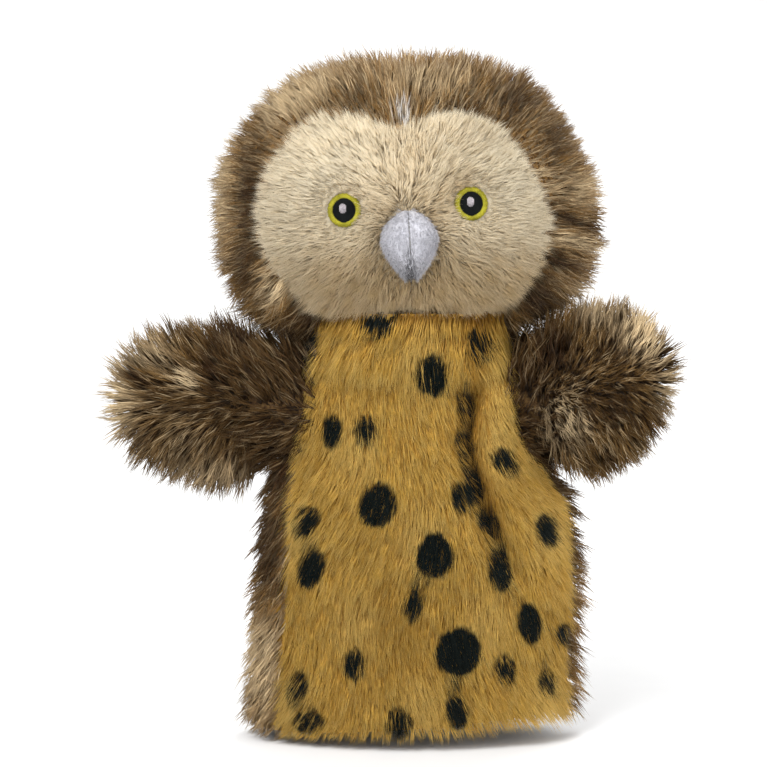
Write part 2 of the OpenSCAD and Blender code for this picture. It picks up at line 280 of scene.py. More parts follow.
def pile_colour_group():
    """Colour of a strand: from its root colour to its body and tip colours, varied from lock to
    lock and from hair to hair, with dark and light patches and a printed mark taken from the
    pile's patch attribute. The dark and light patches hold the plush's own tones and also
    painted shade and painted highlights."""
    if "Pile colour" in bpy.data.node_groups:
        return bpy.data.node_groups["Pile colour"]
    colour, number = "NodeSocketColor", "NodeSocketFloat"
    group, given, out = group_with(
        "Pile colour",
        [("Root", colour, (0, 0, 0, 1)), ("Body", colour, (0, 0, 0, 1)), ("Tip", colour, (0, 0, 0, 1)),
         ("Dark", colour, (0, 0, 0, 1)), ("Light", colour, (0, 0, 0, 1)), ("Mark", colour, (0, 0, 0, 1)),
         ("Tip start", number, 0.6), ("Streaks", number, 0.5), ("Streak scale", number, 160.0),
         ("Flecks", number, 0.5)],
        [("Colour", colour), ("Roughness", number)])
    root = attribute(group, "root", "Vector")
    along = attribute(group, "along", "Fac")
    lock = attribute(group, "lock", "Fac")
    hair = attribute(group, "hair", "Fac")
    patches = group.nodes.new("ShaderNodeSeparateXYZ")
    link(group, attribute(group, "patch", "Vector"), patches.inputs[0])
    broad = group.nodes.new("ShaderNodeTexNoise")
    broad.inputs["Detail"].default_value = 3
    link(group, given["Streak scale"], broad.inputs["Scale"])
    link(group, root, broad.inputs["Vector"])
    streak = maths(group, "ADD", between(group, broad.outputs["Fac"], 0.38, 0.62),
                   maths(group, "MULTIPLY", maths(group, "SUBTRACT", lock, 0.5), 0.6), clamp=True)
    body = mixed(group, maths(group, "MULTIPLY", streak, given["Streaks"]), given["Body"], given["Dark"])
    body = mixed(group, patches.outputs["X"], body, given["Dark"])
    body = mixed(group, patches.outputs["Y"], body, given["Light"])
    pale = maths(group, "SUBTRACT", 1, maths(group, "MULTIPLY", patches.outputs["X"], 0.85))
    fleck = maths(group, "MULTIPLY", between(group, hair, 0.7, 0.9),
                  maths(group, "MULTIPLY", given["Flecks"], pale))
    body = mixed(group, fleck, body, given["Light"])
    base = mixed(group, pale, given["Dark"], given["Root"])
    strand = mixed(group, between(group, along, 0.0, 0.5), base, body)
    tip_start = maths(group, "ADD", given["Tip start"], maths(group, "MULTIPLY", lock, 0.25))
    at_tip = maths(group, "DIVIDE", maths(group, "SUBTRACT", along, tip_start), 0.35, clamp=True)
    at_tip = maths(group, "MULTIPLY", at_tip, pale)
    strand = mixed(group, at_tip, strand, given["Tip"])
    strand = mixed(group, between(group, patches.outputs["Z"], 0.0, 1.0), strand, given["Mark"])
    shade = maths(group, "ADD", maths(group, "MULTIPLY", hair, 0.3), 0.85)
    shade = maths(group, "MULTIPLY", shade,
                  maths(group, "ADD", maths(group, "MULTIPLY", noise_at(group, root, 60, 1), 0.3), 0.85))
    scaled = group.nodes.new("ShaderNodeVectorMath")
    scaled.operation = "SCALE"
    link(group, strand, scaled.inputs[0])
    link(group, shade, scaled.inputs["Scale"])
    link(group, scaled.outputs[0], out["Colour"])
    link(group, maths(group, "ADD", maths(group, "MULTIPLY", lock, 0.2), 0.5), out["Roughness"])
    return group


def weave_group():
    """A plain weave: a colour that varies from thread to thread, and its height for a bump."""
    if "Cloth weave" in bpy.data.node_groups:
        return bpy.data.node_groups["Cloth weave"]
    colour, number = "NodeSocketColor", "NodeSocketFloat"
    group, given, out = group_with(
        "Cloth weave",
        [("Thread", colour, (0.5, 0.5, 0.5, 1)), ("Gap", colour, (0.1, 0.1, 0.1, 1)),
         ("Threads per metre", number, 2200.0)],
        [("Colour", colour), ("Height", number), ("Roughness", number)])
    place = group.nodes.new("ShaderNodeTexCoord").outputs["Object"]
    place = vectors(group, "ADD", place,
                    vectors(group, "SCALE", noise_at(group, place, 90, 2, "Color"), scale=0.0006))
    apart = group.nodes.new("ShaderNodeSeparateXYZ")
    link(group, vectors(group, "SCALE", place, scale=given["Threads per metre"]), apart.inputs[0])
    flat = maths(group, "ADD", apart.outputs["X"], apart.outputs["Y"])
    warp = maths(group, "ABSOLUTE", maths(group, "SINE", maths(group, "MULTIPLY", flat, math.pi)))
    weft = maths(group, "ABSOLUTE", maths(group, "SINE",
                                          maths(group, "MULTIPLY", apart.outputs["Z"], math.pi)))
    height = maths(group, "MULTIPLY", warp, weft)
    link(group, mixed(group, between(group, height, 0.05, 0.6), given["Gap"], given["Thread"]),
         out["Colour"])
    link(group, height, out["Height"])
    link(group, maths(group, "ADD", maths(group, "MULTIPLY", noise_at(group, place, 300), 0.3), 0.6),
         out["Roughness"])
    return group


def new_material(name):
    material = bpy.data.materials.new(name)
    material.use_nodes = True
    shader = material.node_tree.nodes["Principled BSDF"]
    shader.inputs["Specular IOR Level"].default_value = 0.2
    return material, material.node_tree, shader


def add_bump(tree, shader, height, strength, distance):
    bump = tree.nodes.new("ShaderNodeBump")
    bump.inputs["Strength"].default_value = strength
    bump.inputs["Distance"].default_value = distance
    link(tree, height, bump.inputs["Height"])
    link(tree, bump.outputs["Normal"], shader.inputs["Normal"])


def place_group(tree, group, **values):
    node = tree.nodes.new("ShaderNodeGroup")
    node.node_tree = group
    for label, value in values.items():
        socket = node.inputs[label.replace("_", " ")]
        socket.default_value = value if isinstance(value, (int, float)) else (*value[:3], 1)
    return node


def pile_material(name, sheen=0.03, **values):
    """Plush pile in the given root, body, tip, dark, light and mark colours."""
    if name in bpy.data.materials:
        return bpy.data.materials[name]
    material, tree, shader = new_material(name)
    node = place_group(tree, pile_colour_group(), **values)
    link(tree, node.outputs["Colour"], shader.inputs["Base Color"])
    link(tree, node.outputs["Roughness"], shader.inputs["Roughness"])
    shader.inputs["Specular IOR Level"].default_value = 0.06
    shader.inputs["Sheen Weight"].default_value = sheen
    shader.inputs["Sheen Roughness"].default_value = 0.4
    return material


def backing_material(name, light, dark):
    """Knitted backing of the plush, seen between the locks."""
    if name in bpy.data.materials:
        return bpy.data.materials[name]
    material, tree, shader = new_material(name)
    place = tree.nodes.new("ShaderNodeTexCoord").outputs["Object"]
    fine = noise_at(tree, place, 900, 3)
    link(tree, mixed(tree, between(tree, fine, 0.3, 0.7), dark, light), shader.inputs["Base Color"])
    link(tree, maths(tree, "ADD", maths(tree, "MULTIPLY", fine, 0.2), 0.7), shader.inputs["Roughness"])
    add_bump(tree, shader, fine, 0.6, 0.8 * MM)
    return material


def lining_material(colours):
    name = "lining_weave"
    if name in bpy.data.materials:
        return bpy.data.materials[name]
    material, tree, shader = new_material(name)
    thread = tuple(colours.lining)
    node = place_group(tree, weave_group(), Thread=[2.2 * c for c in thread], Gap=[0.5 * c for c in thread],
                       Threads_per_metre=1500.0)
    link(tree, node.outputs["Colour"], shader.inputs["Base Color"])
    link(tree, node.outputs["Roughness"], shader.inputs["Roughness"])
    add_bump(tree, shader, node.outputs["Height"], 0.5, 0.3 * MM)
    shader.inputs["Sheen Weight"].default_value = 0.15
    return material


def thread_material(name, colour):
    """Embroidery thread: two plies that shade from lighter to darker along the stitch."""
    if name in bpy.data.materials:
        return bpy.data.materials[name]
    material, tree, shader = new_material(name)
    place = tree.nodes.new("ShaderNodeTexCoord").outputs["Object"]
    fine = noise_at(tree, place, 2500, 2)
    broad = noise_at(tree, place, 300, 2)
    tone = maths(tree, "ADD", maths(tree, "MULTIPLY", fine, 0.5), maths(tree, "MULTIPLY", broad, 0.5))
    low, high = [0.55 * c for c in colour], [min(1.0, 1.25 * c) for c in colour]
    link(tree, mixed(tree, between(tree, tone, 0.3, 0.65), low, high), shader.inputs["Base Color"])
    link(tree, maths(tree, "ADD", maths(tree, "MULTIPLY", fine, 0.3), 0.45), shader.inputs["Roughness"])
    shader.inputs["Specular IOR Level"].default_value = 0.06
    shader.inputs["Sheen Weight"].default_value = 0.02
    return material


def velvet_material(colours):
    """Short velvet of the beak, brushed lighter where the nap stands and darker where it lies."""
    name = "velvet_nap"
    if name in bpy.data.materials:
        return bpy.data.materials[name]
    material, tree, shader = new_material(name)
    place = tree.nodes.new("ShaderNodeTexCoord").outputs["Object"]
    nap = noise_at(tree, place, 110, 3)
    fibre = noise_at(tree, place, 2400, 2)
    base = tuple(colours.beak)
    colour = mixed(tree, between(tree, nap, 0.35, 0.65), [0.74 * c for c in base], base)
    colour = mixed(tree, maths(tree, "MULTIPLY", between(tree, fibre, 0.35, 0.7), 0.35), colour,
                   [min(1.0, 1.25 * c) for c in base])
    link(tree, colour, shader.inputs["Base Color"])
    link(tree, maths(tree, "ADD", maths(tree, "MULTIPLY", nap, 0.2), 0.68), shader.inputs["Roughness"])
    add_bump(tree, shader, fibre, 0.7, 0.4 * MM)
    shader.inputs["Sheen Weight"].default_value = 0.2
    return material


def fibre_material(name, colour):
    """Loose fibre filling."""
    if name in bpy.data.materials:
        return bpy.data.materials[name]
    material, tree, shader = new_material(name)
    place = tree.nodes.new("ShaderNodeTexCoord").outputs["Object"]
    tangle = noise_at(tree, place, 500, 4)
    link(tree, mixed(tree, between(tree, tangle, 0.3, 0.7), [0.6 * c for c in colour], colour),
         shader.inputs["Base Color"])
    add_bump(tree, shader, tangle, 1.0, 1 * MM)
    return material


# ---- mesh helpers ----


def new_object(name, mesh):
    obj = bpy.data.objects.new(name, mesh)
    bpy.context.scene.collection.objects.link(obj)
    return obj


def finished(bm, name, material):
    """A new smooth-shaded object from a bmesh, which is freed."""
    mesh = bpy.data.meshes.new(name)
    bm.to_mesh(mesh)
    bm.free()
    mesh.materials.append(material)
    mesh.shade_smooth()
    return new_object(name, mesh)


def outer_sheet(nodes, outward, least=0.3):
    """A bmesh of the outer faces of these CAD nodes: those that face along outward(place)."""
    bm = bmesh.new()
    for node in nodes:
        bm.from_mesh(frame["nodes"][node].data)
    bmesh.ops.remove_doubles(bm, verts=bm.verts[:], dist=0.01 * MM)
    bm.normal_update()
    inner = [f for f in bm.faces
             if f.normal.dot(outward(f.calc_center_median()).normalized()) < least]
    bmesh.ops.delete(bm, geom=inner, context="FACES")
    bmesh.ops.join_triangles(bm, faces=bm.faces[:], angle_face_threshold=0.7, angle_shape_threshold=0.9)
    return bm


def sleeve_outward(p):
    return Vector((p.x, p.y * 2.5, max(0.0, p.z - 112 * MM) * 2))


def head_outward(p):
    q = lean_matrix().inverted() @ p - HEAD_MID
    out = Vector([c / h ** 2 for c, h in zip(q, HEAD_HALF)])
    return Matrix.Rotation(-HEAD_LEAN, 3, "Y") @ out


def wing_outward(side):
    place = wing_matrix(side)
    back = place.inverted()

    def outward(p):
        q = back @ p
        return place.to_3x3() @ Vector((0, q.y * 6, q.z))

    return outward


def smooth_sheet(bm, cuts):
    """Rounds a sheet's facets by cutting its faces and easing the new points between the old."""
    for _ in range(cuts):
        bmesh.ops.subdivide_edges(bm, edges=bm.edges[:], cuts=1, use_grid_fill=True)
        inside = [v for v in bm.verts if not v.is_boundary]
        bmesh.ops.smooth_vert(bm, verts=inside, factor=0.5, use_axis_x=True, use_axis_y=True,
                              use_axis_z=True)
    return bm


def thicken(obj, thickness):
    """Gives a sheet its thickness, inwards."""
    solid = obj.modifiers.new("cloth", "SOLIDIFY")
    solid.thickness = thickness
    solid.offset = -1
    return obj


def settle(body, slot, *pieces):
    """Puts pieces on a body, passing over any that nothing grew on. The slot is not used."""
    for piece in pieces:
        if piece:
            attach(piece, body)


def paint_node(name, material):
    """Gives a CAD node's own mesh a material."""
    mesh = frame["nodes"][name].data
    mesh.materials.clear()
    mesh.materials.append(material)


def coordinates(mesh):
    co = np.empty(len(mesh.vertices) * 3, np.float32)
    mesh.vertices.foreach_get("co", co)
    return co.reshape(-1, 3).astype(float)


def ease(value, low, high):
    """0 below low, 1 above high, smooth between, for arrays."""
    t = np.clip((value - low) / (high - low), 0, 1)
    return t * t * (3 - 2 * t)


# ---- pile ----

LOCKS = "pile_locks"
HEM_FLOOR = -2 * MM
PROUD_SHARE, PROUD = 0.03, 7.5 * MM
PAST_ROOM = 0.2
ROOM = [(low - PROUD_SHARE * (high - low) - PROUD, high + PROUD_SHARE * (high - low) + PROUD)
        for low, high in zip(frame_low, frame_high)]


def needle(bm, points, width, hair):
    """One strand: a closed three-sided spike from its root through the points to its tip."""
    along, shade = bm.verts.layers.float["along"], bm.verts.layers.float["hair"]
    ring = bmesh.ops.create_circle(bm, cap_ends=True, segments=3, radius=width / 2)["verts"]
    bmesh.ops.rotate(bm, verts=ring, cent=(0, 0, 0), matrix=Matrix.Rotation(hair * 40, 3, "Z"))
    bmesh.ops.translate(bm, verts=ring, vec=points[0])
    edges = list({e for v in ring for e in v.link_edges})
    for v in ring:
        v[along], v[shade] = 0.0, hair
    for k, (here, there) in enumerate(zip(points, points[1:]), 1):
        grown = bmesh.ops.extrude_edge_only(bm, edges=edges)["geom"]
        ring = [g for g in grown if isinstance(g, bmesh.types.BMVert)]
        edges = [g for g in grown if isinstance(g, bmesh.types.BMEdge) and all(v in ring for v in g.verts)]
        for v in ring:
            v.co = there + (v.co - here) * 0.85
            v[along], v[shade] = k / (len(points) - 1), hair
    bmesh.ops.pointmerge(bm, verts=ring, merge_co=points[-1])


def lock_collection(kind, hairs, spread, bend, gather, width, seeds, joints=1):
    """A collection of locks one unit long, which lean towards +X as they rise."""
    name = f"{LOCKS}_{kind}"
    if name in bpy.data.collections:
        return bpy.data.collections[name]
    collection = bpy.data.collections.new(name)
    for seed in seeds:
        draw = np.random.default_rng(seed)
        bm = bmesh.new()
        bm.verts.layers.float.new("along")
        bm.verts.layers.float.new("hair")
        for k in range(hairs):
            angle, out = draw.uniform(0, math.tau), spread * math.sqrt(draw.uniform(0, 1))
            x, y = out * math.cos(angle), out * math.sin(angle)
            tall = draw.uniform(0.7, 1.1)
            sway, side = bend * draw.uniform(0.5, 1.5), draw.normal(0, 0.09)
            keep = 1 - gather * draw.uniform(0.5, 1.1)
            points = [Vector((x, y, -0.04))]
            if joints:
                points.append(Vector((x * (1 + keep) / 2 + sway * 0.28, y * (1 + keep) / 2 + side * 0.4,
                                      tall * 0.55)))
            points.append(Vector((x * keep + sway, y * keep + side, tall * 0.98)))
            needle(bm, points, width * draw.uniform(0.8, 1.2), draw.uniform(0, 1))
        bmesh.ops.recalc_face_normals(bm, faces=bm.faces[:])
        mesh = bpy.data.meshes.new(f"{name}_{seed}")
        bm.to_mesh(mesh)
        bm.free()
        mesh.shade_smooth()
        collection.objects.link(bpy.data.objects.new(mesh.name, mesh))
    return collection


def pile_tree(name, locks, spacing, lean, jitter, waver, waver_scale, seed):
    """Geometry nodes that plant locks on a sheet. The sheet's comb attribute says which way the
    pile lies, and its reach attribute how long it is."""
    tree = bpy.data.node_groups.new(name, "GeometryNodeTree")
    tree.interface.new_socket("Geometry", in_out="INPUT", socket_type="NodeSocketGeometry")
    tree.interface.new_socket("Geometry", in_out="OUTPUT", socket_type="NodeSocketGeometry")
    start, end = tree.nodes.new("NodeGroupInput"), tree.nodes.new("NodeGroupOutput")

    def add(kind, **settings):
        node = tree.nodes.new(kind)
        for key, value in settings.items():
            setattr(node, key, value)
        return node

    def named(label, kind):
        node = add("GeometryNodeInputNamedAttribute", data_type=kind)
        node.inputs["Name"].default_value = label
        return node.outputs["Attribute"]

    def drawn(kind, low, high, number):
        node = add("FunctionNodeRandomValue", data_type=kind)
        first = 0 if kind == "FLOAT_VECTOR" else 2
        node.inputs[first].default_value, node.inputs[first + 1].default_value = low, high
        node.inputs["Seed"].default_value = seed * 10 + number
        return node.outputs[0 if kind == "FLOAT_VECTOR" else 1]

    plant = add("GeometryNodeDistributePointsOnFaces", distribute_method="POISSON")
    plant.inputs["Distance Min"].default_value = spacing
    plant.inputs["Density Max"].default_value = 2.5 / spacing ** 2
    plant.inputs["Seed"].default_value = seed
    link(tree, named("thick", "FLOAT"), plant.inputs["Density Factor"])
    link(tree, start.outputs[0], plant.inputs["Mesh"])
    upright = vectors(tree, "SCALE", plant.outputs["Normal"], scale=math.cos(lean))
    lying = vectors(tree, "SCALE", named("comb", "FLOAT_VECTOR"), scale=math.sin(lean))
    astray = vectors(tree, "SCALE", drawn("FLOAT_VECTOR", (-1, -1, -1), (1, 1, 1), 1), scale=jitter)
    rise = vectors(tree, "ADD", vectors(tree, "ADD", upright, lying), astray)
    turn = add("FunctionNodeAxesToRotation", primary_axis="Z", secondary_axis="X")
    link(tree, rise, turn.inputs["Primary Axis"])
    link(tree, vectors(tree, "ADD", named("comb", "FLOAT_VECTOR"), astray), turn.inputs["Secondary Axis"])
    put = add("GeometryNodeInstanceOnPoints")
    put.inputs["Pick Instance"].default_value = True
    source = add("GeometryNodeCollectionInfo", transform_space="ORIGINAL")
    source.inputs["Collection"].default_value = locks
    source.inputs["Separate Children"].default_value = True
    pick = add("FunctionNodeRandomValue", data_type="INT")
    pick.inputs[4].default_value, pick.inputs[5].default_value = 0, len(locks.objects) - 1
    pick.inputs["Seed"].default_value = seed * 10 + 2
    link(tree, plant.outputs["Points"], put.inputs["Points"])
    link(tree, source.outputs[0], put.inputs["Instance"])
    link(tree, pick.outputs[2], put.inputs["Instance Index"])
    link(tree, turn.outputs[0], put.inputs["Rotation"])
    size = maths(tree, "MULTIPLY", named("reach", "FLOAT"), drawn("FLOAT", 0.75, 1.2, 3))
    link(tree, size, put.inputs["Scale"])
    keep = add("GeometryNodeStoreNamedAttribute", data_type="FLOAT_VECTOR", domain="INSTANCE")
    keep.inputs["Name"].default_value = "root"
    link(tree, put.outputs[0], keep.inputs["Geometry"])
    link(tree, add("GeometryNodeInputPosition").outputs[0], keep.inputs["Value"])
    mark = add("GeometryNodeStoreNamedAttribute", data_type="FLOAT", domain="INSTANCE")
    mark.inputs["Name"].default_value = "lock"
    link(tree, keep.outputs[0], mark.inputs["Geometry"])
    link(tree, drawn("FLOAT", 0.0, 1.0, 4), mark.inputs["Value"])
    real = add("GeometryNodeRealizeInstances")
    link(tree, mark.outputs[0], real.inputs[0])
    move = add("GeometryNodeSetPosition")
    link(tree, real.outputs[0], move.inputs["Geometry"])
    here = add("GeometryNodeInputPosition").outputs[0]
    flow = vectors(tree, "SUBTRACT", noise_at(tree, here, waver_scale, 2, "Color"), (0.5, 0.5, 0.5))
    along = named("along", "FLOAT")
    far = maths(tree, "MULTIPLY", maths(tree, "MULTIPLY", along, along), waver)
    link(tree, vectors(tree, "SCALE", flow, scale=far), move.inputs["Offset"])
    link(tree, move.outputs[0], end.inputs[0])
    return tree


def write_attribute(mesh, name, kind, values):
    layer = mesh.attributes.new(name, kind, "POINT")
    layer.data.foreach_set("vector" if kind == "FLOAT_VECTOR" else "value",
                           np.asarray(values, np.float32).ravel())


def grow_pile(name, sheet, locks, material, comb, reach, paint, spacing,
              lean=0.9, jitter=0.2, waver=3.0 * MM, waver_scale=220.0, seed=1, thick=None):
    """Plants pile on a copy of a sheet's mesh and returns it as a mesh object of its own, or None
    where nothing grew. comb, reach and thick are functions of the sheet's points. paint is one of
    the outer part of each strand and of its lock's root, and gives dark, light and mark shares."""
    mesh = sheet.data.copy()
    co = coordinates(mesh)
    combs = comb(co)
    write_attribute(mesh, "comb", "FLOAT_VECTOR",
                    combs / np.maximum(np.linalg.norm(combs, axis=1, keepdims=True), 1e-9))
    write_attribute(mesh, "reach", "FLOAT", reach(co))
    share = np.ones(len(co)) if thick is None else thick(co).astype(float)
    write_attribute(mesh, "thick", "FLOAT", share)
    ground = new_object(name + "_ground", mesh)
    if share.max() <= 0:
        bpy.data.objects.remove(ground)
        return None
    grow = ground.modifiers.new("pile", "NODES")
    grow.node_group = pile_tree(name, locks, spacing / math.sqrt(bpy.context.scene.owl_pile.density),
                                lean, jitter, waver, waver_scale, seed)
    depsgraph = bpy.context.evaluated_depsgraph_get()
    pile = bpy.data.meshes.new_from_object(ground.evaluated_get(depsgraph), depsgraph=depsgraph)
    bpy.data.objects.remove(ground)
    if not pile.vertices:
        return None
    pile.name = name
    co = coordinates(pile)
    for axis, (low, high) in enumerate(ROOM):
        low = max(low, HEM_FLOOR) if axis == 2 else low
        kept = np.clip(co[:, axis], low, high)
        co[:, axis] = kept + (co[:, axis] - kept) * PAST_ROOM
    pile.vertices.foreach_set("co", co.astype(np.float32).ravel())
    along = np.empty(len(co), np.float32)
    pile.attributes["along"].data.foreach_get("value", along)
    points = int(np.argmax(along > 0.99)) + 1
    strands = co.reshape(-1, points, 3)
    seen = 0.35 * strands[:, :3].mean(axis=1) + 0.65 * strands[:, -1]
    roots = np.empty(len(co) * 3, np.float32)
    pile.attributes["root"].data.foreach_get("vector", roots)
    write_attribute(pile, "patch", "FLOAT_VECTOR",
                    paint(np.repeat(seen, points, axis=0), roots.reshape(-1, 3).astype(float)))
    pile.materials.clear()
    pile.materials.append(material)
    return new_object(name, pile)


def tones(places, patches):
    """Dark and light shares at some places from patches of tone: middle across and up, half width
    and half height, turn in degrees, and tone from -1, dark, to 1, light."""
    x, z = places[:, 0] / MM, places[:, 2] / MM
    tone = np.zeros(len(places))
    for cx, cz, w, h, turn, strength in patches:
        c, s = math.cos(math.radians(turn)), math.sin(math.radians(turn))
        u, v = (x - cx) * c + (z - cz) * s, (z - cz) * c - (x - cx) * s
        share = np.exp(-((u / w) ** 2 + (v / h) ** 2))
        tone += strength * share * 1.3
    return np.clip(-tone, 0, 1), np.clip(tone, 0, 1)


# ---- sleeve ----

# Spots printed on the belly: middle across and up, half width and half height, turn in degrees.
SPOTS = [(-11, 151, 7, 4, 10), (-39, 142, 4, 8.5, 5), (26, 143, 7, 4, 40), (8, 131, 6.5, 6, 0),
         (-16, 112, 4, 3.5, 0), (-28, 111, 2.5, 4.5, 0), (20.5, 120, 2.2, 2.6, 0), (20, 105, 2.6, 3.2, 0),
         (35, 100, 5, 3, -10), (-11.5, 85, 7.5, 7.2, 0), (18, 87.5, 1.8, 4, 0), (24, 89.5, 1.8, 4, 0),
         (-38, 78, 4.5, 4.5, 0), (-36, 61, 4.6, 5.5, -20), (9, 67, 7.8, 7.6, 0), (30, 75.5, 2, 3, 0),
         (51, 74.5, 3.8, 5.2, 0), (33, 59.5, 3.4, 5, 0), (1, 49, 3, 3.8, 0), (17.5, 32, 9.2, 8.2, 10),
         (44, 41, 3.8, 6.3, 15), (58, 34, 2.5, 3, 0), (-20, 27, 3.6, 3.7, 0), (35, 24, 3.2, 3.8, 0),
         (-41, 18, 2.8, 4, 0), (51, 18, 2.9, 3.4, 0), (-37, 5.5, 5, 2.4, 0), (-4, 6, 4.8, 4.2, 0),
         (17, 10, 3.6, 4.8, 0)]
# Patches of tone on the sides of the sleeve.
SIDE_TONES = [(-53, 70, 8, 22, 0, -0.7), (-56, 24, 9, 20, 0, 0.55), (64, 74, 7, 20, 0, -0.6),
              (60, 95, 8, 8, 0, -0.8), (-46, 98, 8, 10, 0, -0.9)]
CREASE = [(23.5, 146), (21, 119), (20, 105), (28, 76), (37, 56)]
BELLY_EDGE = {"right": [(0, -46.5), (80, -42.5), (148, -36)], "left": [(0, 60), (80, 56), (148, 42)]}


def crease_x(z):
    rows = np.array(sorted(CREASE, key=lambda p: p[1]), float) * MM
    return np.interp(z, rows[:, 1], rows[:, 0])


def drape(co):
    """Folds of the sleeve's cloth, the same for every layer: how far a point moves."""
    x, y, z = co.T
    front = ease(-y, 2 * MM, 16 * MM)
    rear = ease(y, 2 * MM, 16 * MM)
    off = (x - crease_x(z)) / MM
    tall = ease(z, 50 * MM, 76 * MM) * (1 - 0.5 * ease(z, 120 * MM, 138 * MM))
    fold = -7.5 * np.exp(-(off / 4.0) ** 2) + 3.8 * np.exp(-((off - 11) / 7) ** 2)
    push = fold * tall * front
    low = ease(z, 14 * MM, 30 * MM) * (1 - ease(z, 60 * MM, 100 * MM))
    push += 1.6 * np.sin(x / (9 * MM) + 0.8) * low * front
    push += 2.0 * np.sin(x / (13 * MM) + z / (40 * MM)) * ease(z, 14 * MM, 34 * MM) * rear
    push *= 1 - ease(z, 128 * MM, 138 * MM)
    move = np.zeros_like(co)
    move[:, 1] = np.where(y < 0, -1, 1) * push * MM
    hip = ease(z, 26 * MM, 62 * MM) * (1 - ease(z, 84 * MM, 101 * MM))
    move[:, 0] = (2 + 4.5 * hip) * MM * ease(x, 20 * MM, 50 * MM) * (1 - ease(z, 84 * MM, 101 * MM))
    return move


def sleeve_sheet(name, nodes, material, cuts=2):
    """The outer sheet of sleeve nodes, rounded and folded."""
    bm = smooth_sheet(outer_sheet(nodes, sleeve_outward), cuts)
    obj = finished(bm, name, material)
    co = coordinates(obj.data)
    co += drape(co)
    obj.data.vertices.foreach_set("co", co.astype(np.float32).ravel())
    obj.data.update()
    return obj


def spot_share(co):
    """How deep each point lies inside the printed spots: 0 at a spot's outer rim, 1 and more inside."""
    x, z = co[:, 0] / MM, co[:, 2] / MM
    ragged = 0.3 * np.sin(x * 1.9 + z * 0.7) * np.sin(z * 1.6 - x * 0.5)
    share = np.full(len(co), -2.0)
    for cx, cz, w, h, turn in SPOTS:
        c, s = math.cos(math.radians(turn)), math.sin(math.radians(turn))
        u, v = (x - cx) * c + (z - cz) * s, (z - cz) * c - (x - cx) * s
        more = max(0.0, 2.7 - 0.36 * min(w, h))
        w, h = w + more, h + more
        inside = (1 - np.sqrt((u / w) ** 2 + (v / h) ** 2)) * min(w, h)
        share = np.maximum(share, (inside + ragged + 0.8) / 1.3)
    return share


def belly_paint(seen, roots):
    x, z = seen[:, 0] / MM, seen[:, 2] / MM
    # Painted shade along the crease of the fold: near is how close a strand lies to the crease.
    near = np.exp(-((x - 2 - crease_x(seen[:, 2]) / MM) / 5) ** 2) * ease(z, 52, 80)
    # The term that rises from 142 mm up is painted shade under the chin.
    dark = 0.9 * near + 0.3 * ease(np.abs(x - 5), 42, 56) + 0.4 * ease(z, 142, 154)
    dark += 0.35 * np.exp(-((x - 33) / 9) ** 2 - ((z - 92) / 12) ** 2)
    dark += 0.4 * np.exp(-((x + 6) / 20) ** 2 - ((z - 38) / 18) ** 2)
    light = 0.5 * ease(np.sin(x * 0.13 + 1) * np.sin(z * 0.10 + 0.6), 0.1, 0.9)
    # Painted highlight on the bulge of the fold, beside the crease.
    light += 0.5 * np.exp(-((x - 33) / 7) ** 2 - ((z - 120) / 16) ** 2)
    return np.stack([np.clip(dark, 0, 1), np.clip(light * (1 - near), 0, 1), spot_share(seen)], axis=1)


def belly_share(co):
    """1 on the spotted golden plush, 0 on the brown."""
    x, z = co[:, 0] / MM, co[:, 2] / MM
    low, high = (np.interp(z, *zip(*BELLY_EDGE[side])) for side in SIDES)
    return ((x > low) & (x < high) & (co[:, 1] < -4 * MM)).astype(float)


def belly_comb(co):
    """The belly's pile lies downwards and a little outwards."""
    x, y, z = co.T
    return np.stack([x * 7 + 0.25 * np.sin(z * 70 + x * 40), y * 2 - 0.05, -1 + 0 * z], axis=1)


def back_comb(co):
    x, y, z = co.T
    mid = np.exp(-((z - 76 * MM) / (26 * MM)) ** 2)
    beside = np.exp(-(y / (18 * MM)) ** 2) * np.where(x > 0, 14 + 14 * mid, 4)
    high = ease(z, 126 * MM, 136 * MM)
    return np.stack([x * (8 + beside), y * 5 + 0.1, -1 + 1.2 * high], axis=1)


def tan_pile():
    colours = bpy.context.scene.owl_colours
    return pile_material(
        "tan_pile", Root=colours.ochre, Body=colours.tan, Tip=colours.straw, Dark=colours.ochre,
        Light=colours.straw, Mark=colours.spot, Tip_start=0.5, Streaks=0.4, Streak_scale=110.0, Flecks=0.4)


def belly_locks():
    sizes = bpy.context.scene.owl_pile
    return lock_collection("belly", 10, 0.11, 0.26, 0.45, sizes.hair_width / sizes.belly_length,
                           range(1, 8), joints=0)


def hem_reach(length):
    """Pile of this length that shortens towards the hem."""
    return lambda co: length * (0.6 + 0.4 * ease(co[:, 2], 2 * MM, 12 * MM))


class OwlBelly(bpy.types.Operator):
    """Makes the belly panel's cloth and its spotted golden pile."""

    bl_idname = "owl.belly"
    bl_label = "Belly panel"

    def execute(self, context):
        colours, sizes = context.scene.owl_colours, context.scene.owl_pile
        cloth = sleeve_sheet("belly_cloth", ["belly_panel"],
                             backing_material("tan_backing", colours.tan, colours.ochre))
        pile = grow_pile("belly_pile", cloth, belly_locks(), tan_pile(), belly_comb,
                         hem_reach(sizes.belly_length), belly_paint, spacing=1.3 * MM,
                         lean=1.0, jitter=0.16, waver=2.4 * MM, waver_scale=130.0, seed=3, thick=belly_share)
        edge = grow_pile("belly_edge_pile", cloth, brown_locks(), brown_pile(), back_comb,
                         hem_reach(sizes.brown_length), side_paint, spacing=1.9 * MM, lean=0.9, jitter=0.3,
                         waver=6 * MM, seed=5, thick=lambda co: 1 - belly_share(co))
        thicken(cloth, PLUSH_CLOTH)
        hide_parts("belly_panel")
        settle("sleeve", "tan_plush", cloth, pile)
        settle("sleeve", "brown_plush", edge)
        return {"FINISHED"}


